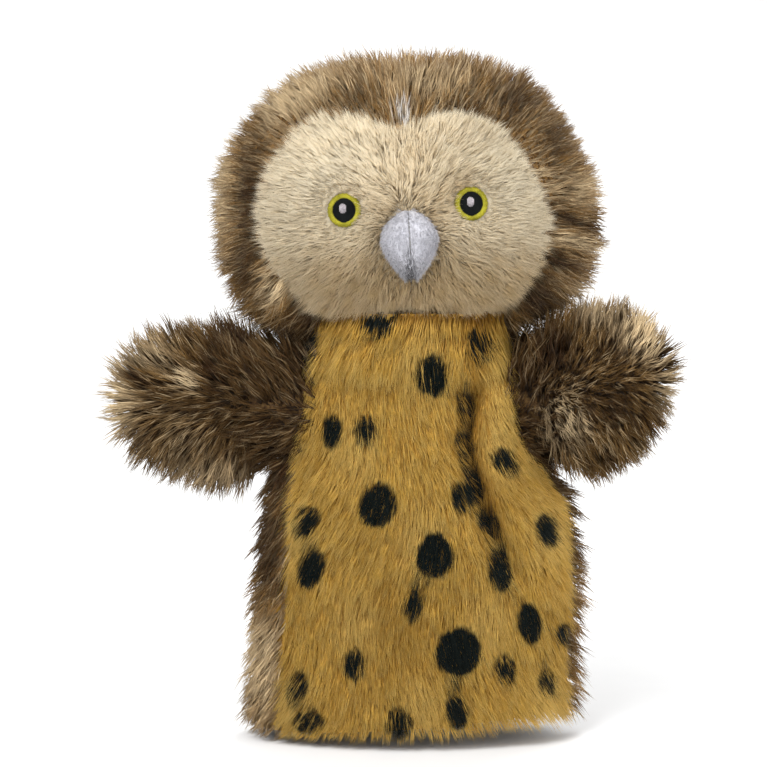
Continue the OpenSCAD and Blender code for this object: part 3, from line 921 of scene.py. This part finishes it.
class OwlBack(bpy.types.Operator):
    """Makes the back panel's cloth and its long brown pile."""

    bl_idname = "owl.back"
    bl_label = "Back panel"

    def execute(self, context):
        colours, sizes = context.scene.owl_colours, context.scene.owl_pile
        cloth = sleeve_sheet("back_cloth", ["back_panel"],
                             backing_material("brown_backing", colours.brown, colours.dark))
        pile = grow_pile("back_pile", cloth, brown_locks(), brown_pile(), back_comb,
                         hem_reach(sizes.brown_length), side_paint, spacing=2.05 * MM, lean=0.85, jitter=0.3,
                         waver=6 * MM, seed=4)
        thicken(cloth, PLUSH_CLOTH)
        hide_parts("back_panel")
        settle("sleeve", "brown_plush", cloth, pile)
        return {"FINISHED"}


def side_paint(seen, roots):
    dark, light = tones(seen, SIDE_TONES)
    x, z = roots[:, 0] / MM, roots[:, 2] / MM
    behind = ease(roots[:, 1], 0, 14 * MM)
    dark += behind * 0.35 * ease(np.sin(x * 0.16 + z * 0.05) * np.sin(z * 0.11), -0.2, 0.7)
    light += behind * 0.5 * ease(np.sin(x * 0.13 + 2) * np.sin(z * 0.09 + x * 0.05 + 1), 0.1, 0.8)
    return np.stack([np.clip(dark, 0, 1), np.clip(light, 0, 1), np.zeros(len(x))], axis=1)


def brown_locks():
    """Locks of the long brown pile, shared by the back, the belly's edge, the wings and the joints."""
    sizes = bpy.context.scene.owl_pile
    return lock_collection("brown", 8, 0.085, 0.34, 0.8, 1.1 * sizes.hair_width / sizes.brown_length,
                           range(11, 19))


def head_locks():
    """Looser, finer locks, which end less sharply."""
    sizes = bpy.context.scene.owl_pile
    return lock_collection("head", 8, 0.10, 0.42, 0.55, 1.1 * sizes.hair_width / sizes.brown_length,
                           range(21, 29))


def brown_pile():
    colours = bpy.context.scene.owl_colours
    return pile_material(
        "brown_pile", Root=colours.beige, Body=colours.brown, Tip=colours.fawn, Dark=colours.dark,
        Light=colours.beige, Mark=colours.white, Tip_start=0.7, Streaks=0.6, Streak_scale=110.0, Flecks=0.45)


def wing_pile():
    """The darker pile of the wings."""
    colours = bpy.context.scene.owl_colours
    return pile_material(
        "wing_pile", Root=[1.6 * c for c in colours.dark], Body=[0.62 * c for c in colours.brown],
        Tip=[0.72 * c for c in colours.fawn], Dark=[0.75 * c for c in colours.dark], Light=colours.beige,
        Mark=colours.white, Tip_start=0.72, Streaks=0.75, Streak_scale=130.0, Flecks=0.35)


class OwlLining(bpy.types.Operator):
    """Makes the sleeve's lining, the facing inside its hem and its stitches, and finishes the pockets."""

    bl_idname = "owl.lining"
    bl_label = "Lining"

    def execute(self, context):
        cloth = lining_material(context.scene.owl_colours)
        for part in ("front", "back"):
            piece = sleeve_sheet(f"lining_{part}_cloth", [f"lining_{part}"], cloth, cuts=1)
            thicken(piece, LINING_CLOTH)
            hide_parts(f"lining_{part}")
            settle("sleeve", "lining", piece)
        facing = sleeve_sheet("hem_facing_cloth", ["hem_facing"], cloth, cuts=1)
        thicken(facing, FACING_CLOTH)
        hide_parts("hem_facing")
        settle("sleeve", "lining", facing)
        thread = thread_material("hem_ply", (0.30, 0.19, 0.08))
        for node, material in [("hem_stitches", thread), ("finger_pocket", cloth),
                               ("wing_pocket_right", cloth), ("wing_pocket_left", cloth)]:
            paint_node(node, material)
        return {"FINISHED"}


# ---- head ----

# Patches of tone on the front of the head, from its middle.
HEAD_TONES = [(-59, 5, 6.5, 26, 0, -0.8), (-51, 3, 3.5, 15, 0, 0.7), (-42, 43, 17, 9, 25, 0.6),
              (-23, 41, 10, 5, 10, -0.6), (-10, 52, 14, 6, 0, 0.1), (10, 49, 13, 6, 0, 0.45),
              (21, 38, 8, 6, -15, -0.7), (41, 43, 9, 10, 0, -0.6), (55, 27, 6, 9, 0, -0.7),
              (49, 12, 4, 8, 0, 0.6), (65, 9, 6, 6, 0, 0.45), (60, -2, 13, 3, -15, -0.8),
              (62, -10, 13, 2.5, -15, 0.6), (56, -18, 12, 4, -10, -0.9), (65, -26, 8, 6, 0, 0.35),
              (49, -30, 7, 8, 0, -0.9), (-50, -26, 5, 8, 0, 0.9), (-62, -20, 6, 9, 0, -0.4),
              (-35, -38, 11, 5, 0, -0.9), (-68, 12, 5, 30, 0, 0.5)]
# The face's outline: bearing from the head's middle in degrees, and distance.
FACE_EDGE = [(-180, 53.9), (-161.6, 52.3), (-150.9, 49.3), (-137, 49.6), (-122.2, 44.5), (-109.3, 39.9),
             (-96.1, 33.5), (-86.4, 35), (-72.3, 39.6), (-53.2, 45.7), (-41.3, 49.5), (-28.2, 50.7),
             (-14.1, 51.3), (0, 50.1), (18.2, 46.3), (42.1, 44.7), (60.1, 39.9), (77.8, 34.7), (91.2, 28.9),
             (104.8, 32.1), (123.2, 41.3), (137, 49.7), (149.6, 50), (169.4, 53.4), (180, 53.9)]


def from_head(co):
    """Places from the middle of the leaning head, in millimetres."""
    return (co - np.array(lean_matrix() @ HEAD_MID)) / MM


def face_depth(co):
    """How far inside the face's outline each point is, in millimetres."""
    x, y, z = from_head(co).T
    bearing, edge = zip(*FACE_EDGE)
    inside = np.interp(np.degrees(np.arctan2(z, x)), bearing, edge) - np.hypot(x, z)
    return np.where(y < 4, inside, -50)


def head_comb(co):
    """The head's pile radiates from the middle of the face and falls a little at the sides."""
    x, y, z = from_head(co).T
    low, rear = ease(-z, 12, 34), ease(y, 8, 34)
    sweep = 7 * np.sin(x * 0.13 + 0.6) * ease(z, 10, 30)
    return np.stack([x * (1 - 0.6 * rear) + sweep + 4 * rear * np.sin(z * 0.2 + x * 0.05),
                     y * 0.8 + 36 * (1 - low) * (1 - rear), z * 1.1 - 5 - 26 * low - 50 * rear], axis=1)


def head_paint(seen, roots):
    """Patches of tone round the face, and quieter mottling over the back."""
    places = from_head(seen) * MM
    dark, light = tones(places, HEAD_TONES)
    x, y, z = from_head(roots).T
    front = 1 - ease(y, -8, 16)
    angle = np.arctan2(z, x)
    mottle = np.sin(angle * 11 + 1.3 * np.sin(y * 0.15)) * np.sin(y * 0.13 + x * 0.06 + 0.5)
    dark = dark * front + (1 - front) * 0.6 * ease(mottle, 0, 0.8)
    light = light * front + (1 - front) * 0.6 * ease(-mottle, 0, 0.8)
    u, v = places[:, 0] / MM + 2.5, places[:, 2] / MM - 34
    white = 1.9 - np.sqrt((u / 4.6) ** 2 + ((v - 1) / 8) ** 2) * 1.7 + 0.4 * np.sin(places[:, 0] * 2600)
    return np.stack([np.clip(dark, 0, 1), np.clip(light, 0, 1), np.where(y < 0, white, -2)], axis=1)


def face_comb(co):
    """The face's pile radiates from between the eyes, and falls at the cheeks."""
    x, y, z = from_head(co).T
    sway = 6 * np.sin(x * 0.31 + 1) * np.sin(z * 0.27)
    return np.stack([x * 1.1 + sway, y * 0 - 8, z * 0.9 + 2 - 5 * ease(-z, 0, 30) + sway * 0.5], axis=1)


def face_paint(seen, roots):
    x, y, z = from_head(seen).T
    low = ease(-z, 4, 26) * (1 - 0.45 * ease(-x, 25, 50))
    beside = np.exp(-((np.abs(x) - 7) / 7) ** 2 - ((z + 6) / 14) ** 2)
    # Painted shade round each eye, where it sits sunk in the pile.
    socket = np.exp(-((np.abs(x + 0.5) - 20) / 7) ** 2 - ((z - 7) / 7) ** 2)
    brow = np.exp(-((x - 0) / 9) ** 2 - ((z - 20) / 12) ** 2)
    mottle = 0.25 * ease(np.sin(x * 0.6 + z * 0.2) * np.sin(z * 0.5 - x * 0.15), 0, 0.8)
    dark = np.clip(0.75 * low + 0.55 * beside + 0.65 * socket + 0.3 * brow + mottle, 0, 0.95)
    light = 0.8 * np.exp(-((x + 30) / 20) ** 2 - ((z - 14) / 18) ** 2)
    light += 0.7 * np.exp(-((x - 38) / 12) ** 2 - ((z - 10) / 16) ** 2)
    return np.stack([dark, np.clip(light, 0, 1), np.full(len(x), -2.0)], axis=1)


def cream_pile():
    colours = bpy.context.scene.owl_colours
    # The roots are a little lighter than the body: painted light that lifts the shade between the face's
    # locks.
    return pile_material(
        "cream_pile", Root=[1.1 * c for c in colours.cream], Body=colours.cream, Tip=colours.ivory,
        Dark=colours.fawn, Light=colours.ivory, Mark=colours.fawn, Tip_start=0.6, Streaks=0.15,
        Streak_scale=150.0, Flecks=0.2)


class OwlHead(bpy.types.Operator):
    """Makes the head's plush: two hoods, the strip over the crown and the two halves of the face."""

    bl_idname = "owl.head"
    bl_label = "Head"

    def execute(self, context):
        colours, sizes = context.scene.owl_colours, context.scene.owl_pile
        brown = backing_material("brown_backing", colours.brown, colours.dark)
        cream = backing_material("cream_backing", [0.6 * c for c in colours.cream],
                                 [0.45 * c for c in colours.cream])
        short = lock_collection("face", 9, 0.15, 0.30, 0.12, 0.86 * sizes.hair_width / sizes.face_length,
                                range(31, 38), joints=0)

        def brown_reach(co):
            x, y, z = from_head(co).T
            low = ease(-z, 18, 34)
            corner = np.exp(-((x - 55) / 17) ** 2 - ((z - 31) / 15) ** 2)
            corner += 0.7 * np.exp(-((x + 57) / 15) ** 2 - ((z - 31) / 15) ** 2)
            side = np.exp(-((x - 60) / 12) ** 2 - ((z + 22) / 9) ** 2)
            return sizes.brown_length * (0.72 + 0.28 * ease(-face_depth(co), 0, 14) + 0.3 * low
                                         - 0.42 * corner + 0.3 * side)

        for k, node in enumerate(("hood_right", "hood_left", "crown_gusset", "face_right", "face_left")):
            front = node.startswith("face")
            cloth = finished(smooth_sheet(outer_sheet([node], head_outward), 2 if front else 1),
                             node + "_cloth", cream if front else brown)
            brown_part = grow_pile(
                node + "_brown_pile", cloth, head_locks(), brown_pile(), head_comb, brown_reach, head_paint,
                spacing=1.8 * MM, lean=0.8, jitter=0.28, waver=6 * MM, waver_scale=150.0, seed=20 + k,
                thick=lambda co: face_depth(co) < 1.5)
            cream_part = grow_pile(
                node + "_cream_pile", cloth, short, cream_pile(), face_comb, face_reach, face_paint,
                spacing=0.87 * MM, lean=0.75, jitter=0.34, waver=4 * MM, waver_scale=170.0, seed=40 + k,
                thick=lambda co: (face_depth(co) >= 1.5) & face_open(co))
            thicken(cloth, PLUSH_CLOTH)
            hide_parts(node)
            settle("head", "cream_plush" if front else "brown_plush", cloth)
            settle("head", "brown_plush", brown_part)
            settle("head", "cream_plush", cream_part)
        paint_node("head_stuffing", fibre_material("fibre_fill", FILLING))
        return {"FINISHED"}


def eye_middles():
    return [sum(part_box(f"eye_ring_{side}"), Vector()) / 2 for side in SIDES]


def face_clear(co):
    """How far each point is from the nearest eye's middle, and from the beak's middle line."""
    eyes = np.min([np.linalg.norm((co - np.array(e))[:, [0, 2]], axis=1) for e in eye_middles()], axis=0)
    low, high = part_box("beak_stuffing")
    middle, half = np.array((low + high) / 2), np.array((high - low) / 2)
    beak = np.hypot((co[:, 0] - middle[0]) / half[0], (co[:, 2] - middle[2]) / half[2])
    return eyes, beak


def face_reach(co):
    eyes, beak = face_clear(co)
    near = np.minimum(ease(eyes, 5.5 * MM, 13 * MM), ease(beak, 0.9, 1.7))
    rim = 1 - 0.3 * ease(8 - face_depth(co), 0, 8)
    return bpy.context.scene.owl_pile.face_length * (0.45 + 0.55 * near) * rim


def face_open(co):
    eyes, beak = face_clear(co)
    return (eyes > 6.3 * MM) & (beak > 0.85)


# ---- embroidery and beak ----


def stitch(bm, points, radius, sides=5):
    """A thread along a few points, round in section and closed at both ends."""
    ring = bmesh.ops.create_circle(bm, cap_ends=False, segments=sides, radius=radius)["verts"]
    first = Vector(points[1]) - Vector(points[0])
    turn = first.to_track_quat("Z", "Y").to_matrix()
    bmesh.ops.transform(bm, matrix=Matrix.Translation(points[0]) @ turn.to_4x4(), verts=ring)
    start, edges = ring, list({e for v in ring for e in v.link_edges})
    for here, there in zip(points, points[1:]):
        grown = bmesh.ops.extrude_edge_only(bm, edges=edges)["geom"]
        ring = [g for g in grown if isinstance(g, bmesh.types.BMVert)]
        edges = [g for g in grown if isinstance(g, bmesh.types.BMEdge)
                 and all(v in ring for v in g.verts)]
        bmesh.ops.translate(bm, verts=ring, vec=Vector(there) - Vector(here))
    for end in (start, ring):
        bmesh.ops.contextual_create(bm, geom=end)


def eye_matrix(side):
    """Carries a drawing in the XY plane, out along +Z, onto the face at that eye."""
    low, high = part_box(f"pupil_{side}")
    middle = (low + high) / 2
    q = lean_matrix().inverted() @ middle - HEAD_MID
    power = 1.6
    out = Vector((math.copysign(abs(q.x / (64 * MM)) ** power / (64 * MM), q.x),
                  -(abs(q.y) / (41 * MM)) ** power / (41 * MM),
                  math.copysign(abs(q.z / (45 * MM)) ** power / (45 * MM), q.z))).normalized()
    out = Matrix.Rotation(-HEAD_LEAN, 3, "Y") @ out
    turn = out.to_track_quat("Z", "Y").to_matrix().to_4x4()
    return Matrix.Translation(middle - out * 0.9 * MM) @ turn


def arched(a, b, rise):
    """Three points of a stitch that stands proud in its middle."""
    a, b = Vector(a), Vector(b)
    return [a, (a + b) / 2 + Vector((0, 0, rise)), b]


class OwlEyes(bpy.types.Operator):
    """Makes the embroidered eyes in satin stitch."""

    bl_idname = "owl.eyes"
    bl_label = "Eyes"

    def execute(self, context):
        colours = context.scene.owl_colours
        ring_r, pupil_r = 6.0 * MM, 4.3 * MM
        for side in SIDES:
            place = eye_matrix(side)
            ring, pupil, glint = bmesh.new(), bmesh.new(), bmesh.new()
            count = 72
            for k in range(count):
                a = math.tau * k / count
                inner, outer = pupil_r - 0.25 * MM, ring_r + 0.12 * MM * math.sin(k * 2.4)
                stitch(ring, arched((inner * math.cos(a), inner * math.sin(a), 0.5 * MM),
                                    (outer * math.cos(a), outer * math.sin(a), 0.1 * MM), 0.7 * MM), 0.26 * MM)
            step = 0.42 * MM
            rows = int(2 * pupil_r / step)
            for k in range(rows):
                y = -pupil_r + step * (k + 0.5)
                half = math.sqrt(pupil_r ** 2 - y * y)
                stitch(pupil, arched((-half, y, 0.55 * MM), (half, y, 0.55 * MM), 0.55 * MM), 0.27 * MM)
            for k in range(6):
                x = (k - 2.5) * 0.4 * MM
                half = 1.8 * MM * math.sqrt(1 - (x / (1.3 * MM)) ** 2)
                stitch(glint, arched((x - 0.4 * MM, 0.6 * MM - half, 1.1 * MM),
                                     (x - 0.4 * MM, 0.6 * MM + half, 1.1 * MM), 0.45 * MM), 0.24 * MM)
            for bm, part, colour in ((ring, "eye_ring", colours.iris), (pupil, "pupil", colours.pupil),
                                     (glint, "glint", colours.glint)):
                bmesh.ops.transform(bm, matrix=place, verts=bm.verts[:])
                bmesh.ops.recalc_face_normals(bm, faces=bm.faces[:])
                slot = {"eye_ring": "iris_thread", "pupil": "pupil_thread", "glint": "glint_thread"}[part]
                piece = finished(bm, f"{part}_{side}_stitches", thread_material(f"{part}_ply", tuple(colour)))
                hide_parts(f"{part}_{side}")
                settle("head", slot, piece)
        return {"FINISHED"}


def beak_locks():
    return lock_collection("beak", 6, 0.28, 0.2, 0.2, 0.075, range(81, 85), joints=0)


def beak_nap(colours):
    base = tuple(colours.beak)
    return pile_material(
        "beak_nap", sheen=0.3, Root=[0.8 * c for c in base], Body=base, Tip=base,
        Dark=[0.12 * c for c in base], Light=[min(1, 1.2 * c) for c in base], Mark=[0.6 * c for c in base],
        Tip_start=0.6, Streaks=0.12, Streak_scale=300.0, Flecks=0.4)


def beak_paint(seen, roots):
    """Darker where the two halves meet, most towards the tip."""
    low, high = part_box("beak_stuffing")
    x = (roots[:, 0] - (low.x + high.x) / 2) / MM
    up = (roots[:, 2] - low.z) / (high.z - low.z)
    lean = (up - 0.5) * (high.z - low.z) / MM * math.tan(HEAD_LEAN)
    wide = 0.8 + 0.9 * (1 - ease(up, 0.1, 0.6))
    seam = np.exp(-((x + lean) / wide) ** 2) * (0.25 + 0.75 * (1 - ease(up, 0.35, 0.7)))
    under = 0.25 * (1 - ease(up, 0.0, 0.35))
    return np.stack([np.clip(seam + under, 0, 1), np.zeros(len(x)), np.full(len(x), -2.0)], axis=1)


class OwlBeak(bpy.types.Operator):
    """Makes the stuffed velvet beak in two halves that meet in a seam down its ridge."""

    bl_idname = "owl.beak"
    bl_label = "Beak"

    def execute(self, context):
        velvet = velvet_material(context.scene.owl_colours)
        low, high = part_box("beak_stuffing")
        core = (low + high) / 2 + Vector((0, (high - low).y / 2, 0))
        for side in SIDES:
            def outward(p):
                return p - Vector((core.x, core.y, p.z))

            bm = smooth_sheet(outer_sheet([f"beak_{side}"], outward), 2)
            piece = finished(bm, f"beak_{side}_velvet", velvet)
            nap = grow_pile(
                f"beak_{side}_nap", piece, beak_locks(), beak_nap(context.scene.owl_colours),
                lambda co: np.tile((0.0, 0.0, -1.0), (len(co), 1)), lambda co: np.full(len(co), 1.9 * MM),
                beak_paint, spacing=0.62 * MM, lean=0.75, jitter=0.4, waver=0.5 * MM, waver_scale=900.0,
                seed=60 + (side == "left"))
            thicken(piece, 0.7 * MM)
            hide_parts(f"beak_{side}")
            settle("head", "beak_velvet", nap, piece)
        paint_node("beak_stuffing", fibre_material("fibre_fill", FILLING))
        return {"FINISHED"}


# ---- wings ----

# Patches of tone on the wings, seen from the front. Those of -1, by the body at the wing roots, are painted
# shade where the wings meet it.
WING_TONES = {
    "right": [(-50, 122, 8, 22, 0, -1.0), (-74, 132, 5, 14, 0, -0.8), (-65, 147, 7, 4, 0, -0.8),
              (-83, 130, 5.5, 3.5, -15, 0.9), (-97, 141, 8, 6, -20, 0.3), (-110, 123, 6, 15, 0, 0.6),
              (-102, 131, 5, 2.5, -20, -0.9), (-83, 109, 14, 9, 0, 0.1), (-75, 93, 14, 5, 0, 0.35)],
    "left": [(83, 148, 6, 8, 20, 0.9), (68, 156, 7, 5, 0, 0.35), (58, 117, 8, 12, 0, 0.55),
             (53, 141, 7, 10, 0, -1.0), (72, 123, 9, 8, 0, -0.6), (93, 132, 6, 12, 0, 0.35),
             (68, 103, 12, 6, 0, -0.1)]}


def wing_fields(side):
    """The comb, the reach and the paint of one wing's pile."""
    place = wing_matrix(side)
    back = np.array(place.inverted())
    turn = np.array(place.to_3x3())

    def local(co):
        return co @ back[:3, :3].T + back[:3, 3]

    def comb(co):
        x, y, z = (local(co) / MM).T
        flow = np.stack([0.25 + 0.9 * ease(x, 12, 40), y * 0.05, (z - 2) * (0.05 + x * 0.0012) - 0.1], axis=1)
        return flow @ turn.T

    def reach(co):
        x, y, z = (local(co) / MM).T
        root = 0.45 * (1 - ease(x, 16, 34)) * ease(np.abs(z), 5, 14)
        tip = 0.22 * ease(x, 34, 58) * (1 if side == "right" else 0.3)
        return bpy.context.scene.owl_pile.brown_length * (0.85 + tip + root)

    def paint(seen, roots):
        dark, light = tones(seen, WING_TONES[side])
        x, y, z = (local(roots) / MM).T
        behind = ease(y, -2, 4)
        mottle = ease(-np.sin(x * 0.2) * np.sin(z * 0.3), 0, 1)
        # Painted shade near the shoulder, where the wing meets the body.
        dark = np.clip(dark * (1 - behind) + 0.7 * (1 - ease(x, 8, 24)) + 0.3 * behind * mottle, 0, 1)
        light = light * (1 - behind) + 0.35 * behind * ease(np.sin(x * 0.2) * np.sin(z * 0.3), 0, 0.8)
        return np.stack([dark, light, np.full(len(x), -2.0)], axis=1)

    return comb, reach, paint


class OwlWings(bpy.types.Operator):
    """Makes the two plush sides of each wing."""

    bl_idname = "owl.wings"
    bl_label = "Wings"

    def execute(self, context):
        colours = context.scene.owl_colours
        backing = backing_material("wing_backing", [0.5 * c for c in colours.brown], colours.dark)
        for k, side in enumerate(SIDES):
            comb, reach, paint = wing_fields(side)
            for part in ("front", "back"):
                node = f"wing_{part}_{side}"
                cloth = finished(smooth_sheet(outer_sheet([node], wing_outward(side), 0.2), 1),
                                 node + "_cloth", backing)
                pile = grow_pile(node + "_pile", cloth, brown_locks(), wing_pile(), comb, reach, paint,
                                 spacing=1.55 * MM, lean=0.85, jitter=0.3, waver=5 * MM,
                                 seed=50 + 2 * k + (part == "back"))
                thicken(cloth, PLUSH_CLOTH)
                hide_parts(node)
                settle(f"wing_{side}", "brown_plush", cloth, pile)
        return {"FINISHED"}


# ---- cloth across the joints ----


def spun(profile, squeeze, segments=40):
    """A bmesh tube round Z through points of height and radius, narrowed along Y by each point's share."""
    bm = bmesh.new()
    points = [bm.verts.new((r, 0, z)) for z, r in profile]
    edges = [bm.edges.new(pair) for pair in zip(points, points[1:])]
    bmesh.ops.spin(bm, geom=points + edges, cent=(0, 0, 0), axis=(0, 0, 1), angle=math.tau,
                   steps=segments, use_merge=True)
    bmesh.ops.remove_doubles(bm, verts=bm.verts[:], dist=0.001 * MM)
    heights = [z for z, r in profile]
    for v in bm.verts:
        v.co.y *= float(np.interp(v.co.z, heights, squeeze))
    bmesh.ops.recalc_face_normals(bm, faces=bm.faces[:])
    face = bm.faces[:][0]
    if face.normal.dot(Vector((*face.calc_center_median().xy, 0))) < 0:
        bmesh.ops.reverse_faces(bm, faces=bm.faces[:])
    return bm


class OwlJoints(bpy.types.Operator):
    """Makes the plush that runs on across the neck and the shoulders and bends as they turn."""

    bl_idname = "owl.joints"
    bl_label = "Neck and shoulders"

    def execute(self, context):
        colours, sizes = context.scene.owl_colours, context.scene.owl_pile
        backing = backing_material("wing_backing", [0.5 * c for c in colours.brown], colours.dark)
        z = Vector((0, 0, 1))
        lower = [(-9 * MM, 28 * MM), (-6 * MM, 27.5 * MM), (-2.5 * MM, 26.5 * MM), (0.5 * MM, 25.5 * MM)]
        upper = [(-0.5 * MM, 25.5 * MM), (2.5 * MM, 25 * MM), (5.5 * MM, 25 * MM), (8 * MM, 26 * MM)]
        place = Matrix.Translation(NECK) @ Matrix.Diagonal((1.38, 1.08, 1, 1))
        jobs = [("neck_low", lower, (1, 1, 1, 1), place, "sleeve", "neck", NECK - 6 * MM * z, NECK,
                 "neck_gusset"),
                ("neck_high", upper, (1, 1, 1, 1), place, "neck", "head", NECK, NECK + 7 * MM * z,
                 "neck_gusset")]
        inner = [(-13 * MM, 16.5 * MM), (-9 * MM, 17 * MM), (-5 * MM, 17.2 * MM), (-1 * MM, 17.4 * MM),
                 (3 * MM, 17.1 * MM), (7 * MM, 16.8 * MM)]
        outer = [(5 * MM, 17.0 * MM), (9 * MM, 16.8 * MM), (13 * MM, 16.2 * MM), (18 * MM, 17.2 * MM)]
        for side in SIDES:
            lie = wing_matrix(side) @ Matrix.Rotation(math.radians(90), 4, "Y")
            out = wing_matrix(side).to_3x3() @ Vector((1, 0, 0))
            half = wing_matrix(side, 0.5).to_3x3() @ Vector((1, 0, 0))
            spot = SHOULDER[side]
            jobs += [(f"shoulder_in_{side}", inner, (1, 1, 1, 1, 1, 1), lie, "sleeve", f"shoulder_{side}",
                      spot - 7 * MM * half, spot + 2.5 * MM * half, f"shoulder_gusset_{side}"),
                     (f"shoulder_out_{side}", outer, (1, 0.95, 0.8, 0.66), lie, f"shoulder_{side}",
                      f"wing_{side}", spot + 6 * MM * out, spot + 15 * MM * out, f"shoulder_gusset_{side}")]
        for k, (name, profile, squeeze, where, a, b, start, end, node) in enumerate(jobs):
            bm = spun(profile, squeeze)
            if name.startswith("shoulder_in"):
                side = name.split("_")[2]
                upright = Matrix.Rotation(math.radians(90), 4, "Y")
                for v in bm.verts:
                    share = float(ease(v.co.z, -10 * MM, 4 * MM))
                    v.co = where.inverted() @ wing_matrix(side, share) @ upright @ v.co
            bmesh.ops.transform(bm, matrix=where, verts=bm.verts[:])
            if where.determinant() < 0:
                bmesh.ops.reverse_faces(bm, faces=bm.faces[:])
            neck = name.startswith("neck")
            if neck:
                for face in bm.faces:
                    face.material_index = int(face.calc_center_median().y < -5 * MM)
            cloth = finished(bm, name + "_cloth", backing)
            if neck:
                cloth.data.materials.append(backing_material("tan_backing", colours.tan, colours.ochre))
            way = np.array((end - start).normalized())

            def comb(co):
                if neck:
                    return np.stack([co[:, 0] * 12, co[:, 1] * 6, np.full(len(co), -1.0)], axis=1)
                above = co[:, 2:] > SHOULDER["left"].z
                return np.tile(way, (len(co), 1)) * np.where(above, 0.5, 1) + np.array((0, 0, 0.6)) * above

            def golden(co):
                if neck:
                    return (co[:, 1] < -5 * MM) & (np.abs(co[:, 0] - 1 * MM) < 38 * MM)
                still = (co - np.array(start)) @ way < 2 * MM
                return still & (co[:, 1] < -4 * MM) & (co[:, 0] < 45 * MM) & (name == "shoulder_in_left")

            def reach(co):
                tall = ease(co[:, 2], SHOULDER["left"].z + 4 * MM, SHOULDER["left"].z + 14 * MM)
                return sizes.brown_length * (0.9 + (0.0 if neck else 0.45) * tall)

            # The brown pile across the joints is painted darker all over: painted shade under the head and
            # where the wings meet the body.
            pile = grow_pile(name + "_pile", cloth, brown_locks(), brown_pile() if neck else wing_pile(),
                             comb, reach,
                             lambda seen, roots: np.tile((0.6, 0.0, -2.0), (len(roots), 1)),
                             spacing=2.0 * MM, lean=0.55, jitter=0.3, waver=4 * MM, seed=70 + k,
                             thick=lambda co: 1 - golden(co).astype(float))
            tan = grow_pile(
                name + "_tan_pile", cloth, belly_locks(), tan_pile(), belly_comb,
                lambda co: np.full(len(co), 1.35 * sizes.belly_length), belly_paint, spacing=1.3 * MM,
                lean=0.95, jitter=0.2, waver=2.4 * MM, waver_scale=130.0, seed=80 + k, thick=golden)
            pieces = [piece for piece in (cloth, pile, tan) if piece]
            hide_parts(node)
            for piece in pieces:
                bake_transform(piece, a, b, start=start, end=end)
        return {"FINISHED"}


# ---- stage ----


# Name, place, width and power of each lamp.
LAMPS = (("key", (-0.6, -1.1, 1.3), 0.8, 27.0), ("fill", (1.0, -1.0, 0.5), 1.0, 8.0),
         ("rim", (0.4, 0.9, 1.0), 0.8, 9.0))


class OwlStage(bpy.types.Operator):
    """Makes the pale floor and backdrop, the lights and the camera."""

    bl_idname = "owl.stage"
    bl_label = "Stage"

    def execute(self, context):
        scene = context.scene
        floor_z = -4 * MM
        bm = bmesh.new()
        bend, back, front, tall = 0.5, 1.4, -2.2, 2.2
        profile = [(front, floor_z), (back - bend, floor_z)]
        profile += [(back - bend + bend * math.sin(a), floor_z + bend * (1 - math.cos(a)))
                    for a in np.linspace(0.1, math.pi / 2, 12)]
        profile.append((back, tall))
        line = [bm.verts.new((-2.5, y, z)) for y, z in profile]
        edges = [bm.edges.new(pair) for pair in zip(line, line[1:])]
        grown = bmesh.ops.extrude_edge_only(bm, edges=edges)["geom"]
        bmesh.ops.translate(bm, verts=[g for g in grown if isinstance(g, bmesh.types.BMVert)], vec=(5, 0, 0))
        material, tree, shader = new_material("stage_paper")
        place = tree.nodes.new("ShaderNodeTexCoord").outputs["Object"]
        link(tree, mixed(tree, noise_at(tree, place, 30, 2), (0.86, 0.86, 0.86), (0.9, 0.9, 0.9)),
             shader.inputs["Base Color"])
        shader.inputs["Roughness"].default_value = 0.9
        floor = finished(bm, "backdrop", material)
        world = bpy.data.worlds.new("studio")
        scene.world = world
        world.use_nodes = True
        world.node_tree.nodes["Background"].inputs[0].default_value = (1, 1, 1, 1)
        world.node_tree.nodes["Background"].inputs[1].default_value = 0.62
        scene.view_settings.view_transform = "Standard"
        middle = Vector((-9.5 * MM, -30 * MM, 129 * MM))
        for name, at, size, power in LAMPS:
            data = bpy.data.lights.new(name, "AREA")
            data.size = size
            data.energy = power
            lamp = new_object(name, data)
            lamp.location = at
            lamp.rotation_euler = (middle - Vector(at)).to_track_quat("-Z", "Y").to_euler()
        data = bpy.data.cameras.new("camera")
        data.lens = 100
        data.sensor_width = 36
        camera = new_object("camera", data)
        distance, elevation = 0.767, math.radians(2)
        camera.location = middle + distance * Vector((0, -math.cos(elevation), math.sin(elevation)))
        camera.rotation_euler = (middle - camera.location).to_track_quat("-Z", "Y").to_euler()
        scene.camera = camera
        return {"FINISHED"}


class OwlPanel(bpy.types.Panel):
    """Lists the puppet's pieces in the sidebar."""

    bl_idname = "VIEW3D_PT_owl"
    bl_label = "Owl glove puppet"
    bl_space_type = "VIEW_3D"
    bl_region_type = "UI"
    bl_category = "Owl"

    def draw(self, context):
        for group in (context.scene.owl_pile, context.scene.owl_colours):
            for name in group.__annotations__:
                self.layout.prop(group, name)
        for operator in OPERATORS:
            self.layout.operator(operator.bl_idname)


OPERATORS = (OwlStage, OwlLining, OwlBelly, OwlBack, OwlHead, OwlEyes, OwlBeak, OwlWings, OwlJoints)
CLASSES = (OwlPileSizes, OwlColours, *OPERATORS, OwlPanel)


def register():
    for cls in CLASSES:
        bpy.utils.register_class(cls)
    bpy.types.Scene.owl_pile = bpy.props.PointerProperty(type=OwlPileSizes)
    bpy.types.Scene.owl_colours = bpy.props.PointerProperty(type=OwlColours)


def unregister():
    del bpy.types.Scene.owl_colours
    del bpy.types.Scene.owl_pile
    for cls in reversed(CLASSES):
        bpy.utils.unregister_class(cls)


def main():
    register()
    for operator in OPERATORS:
        group, name = operator.bl_idname.split(".")
        getattr(getattr(bpy.ops, group), name)()


if __name__ == "__main__":
    main()
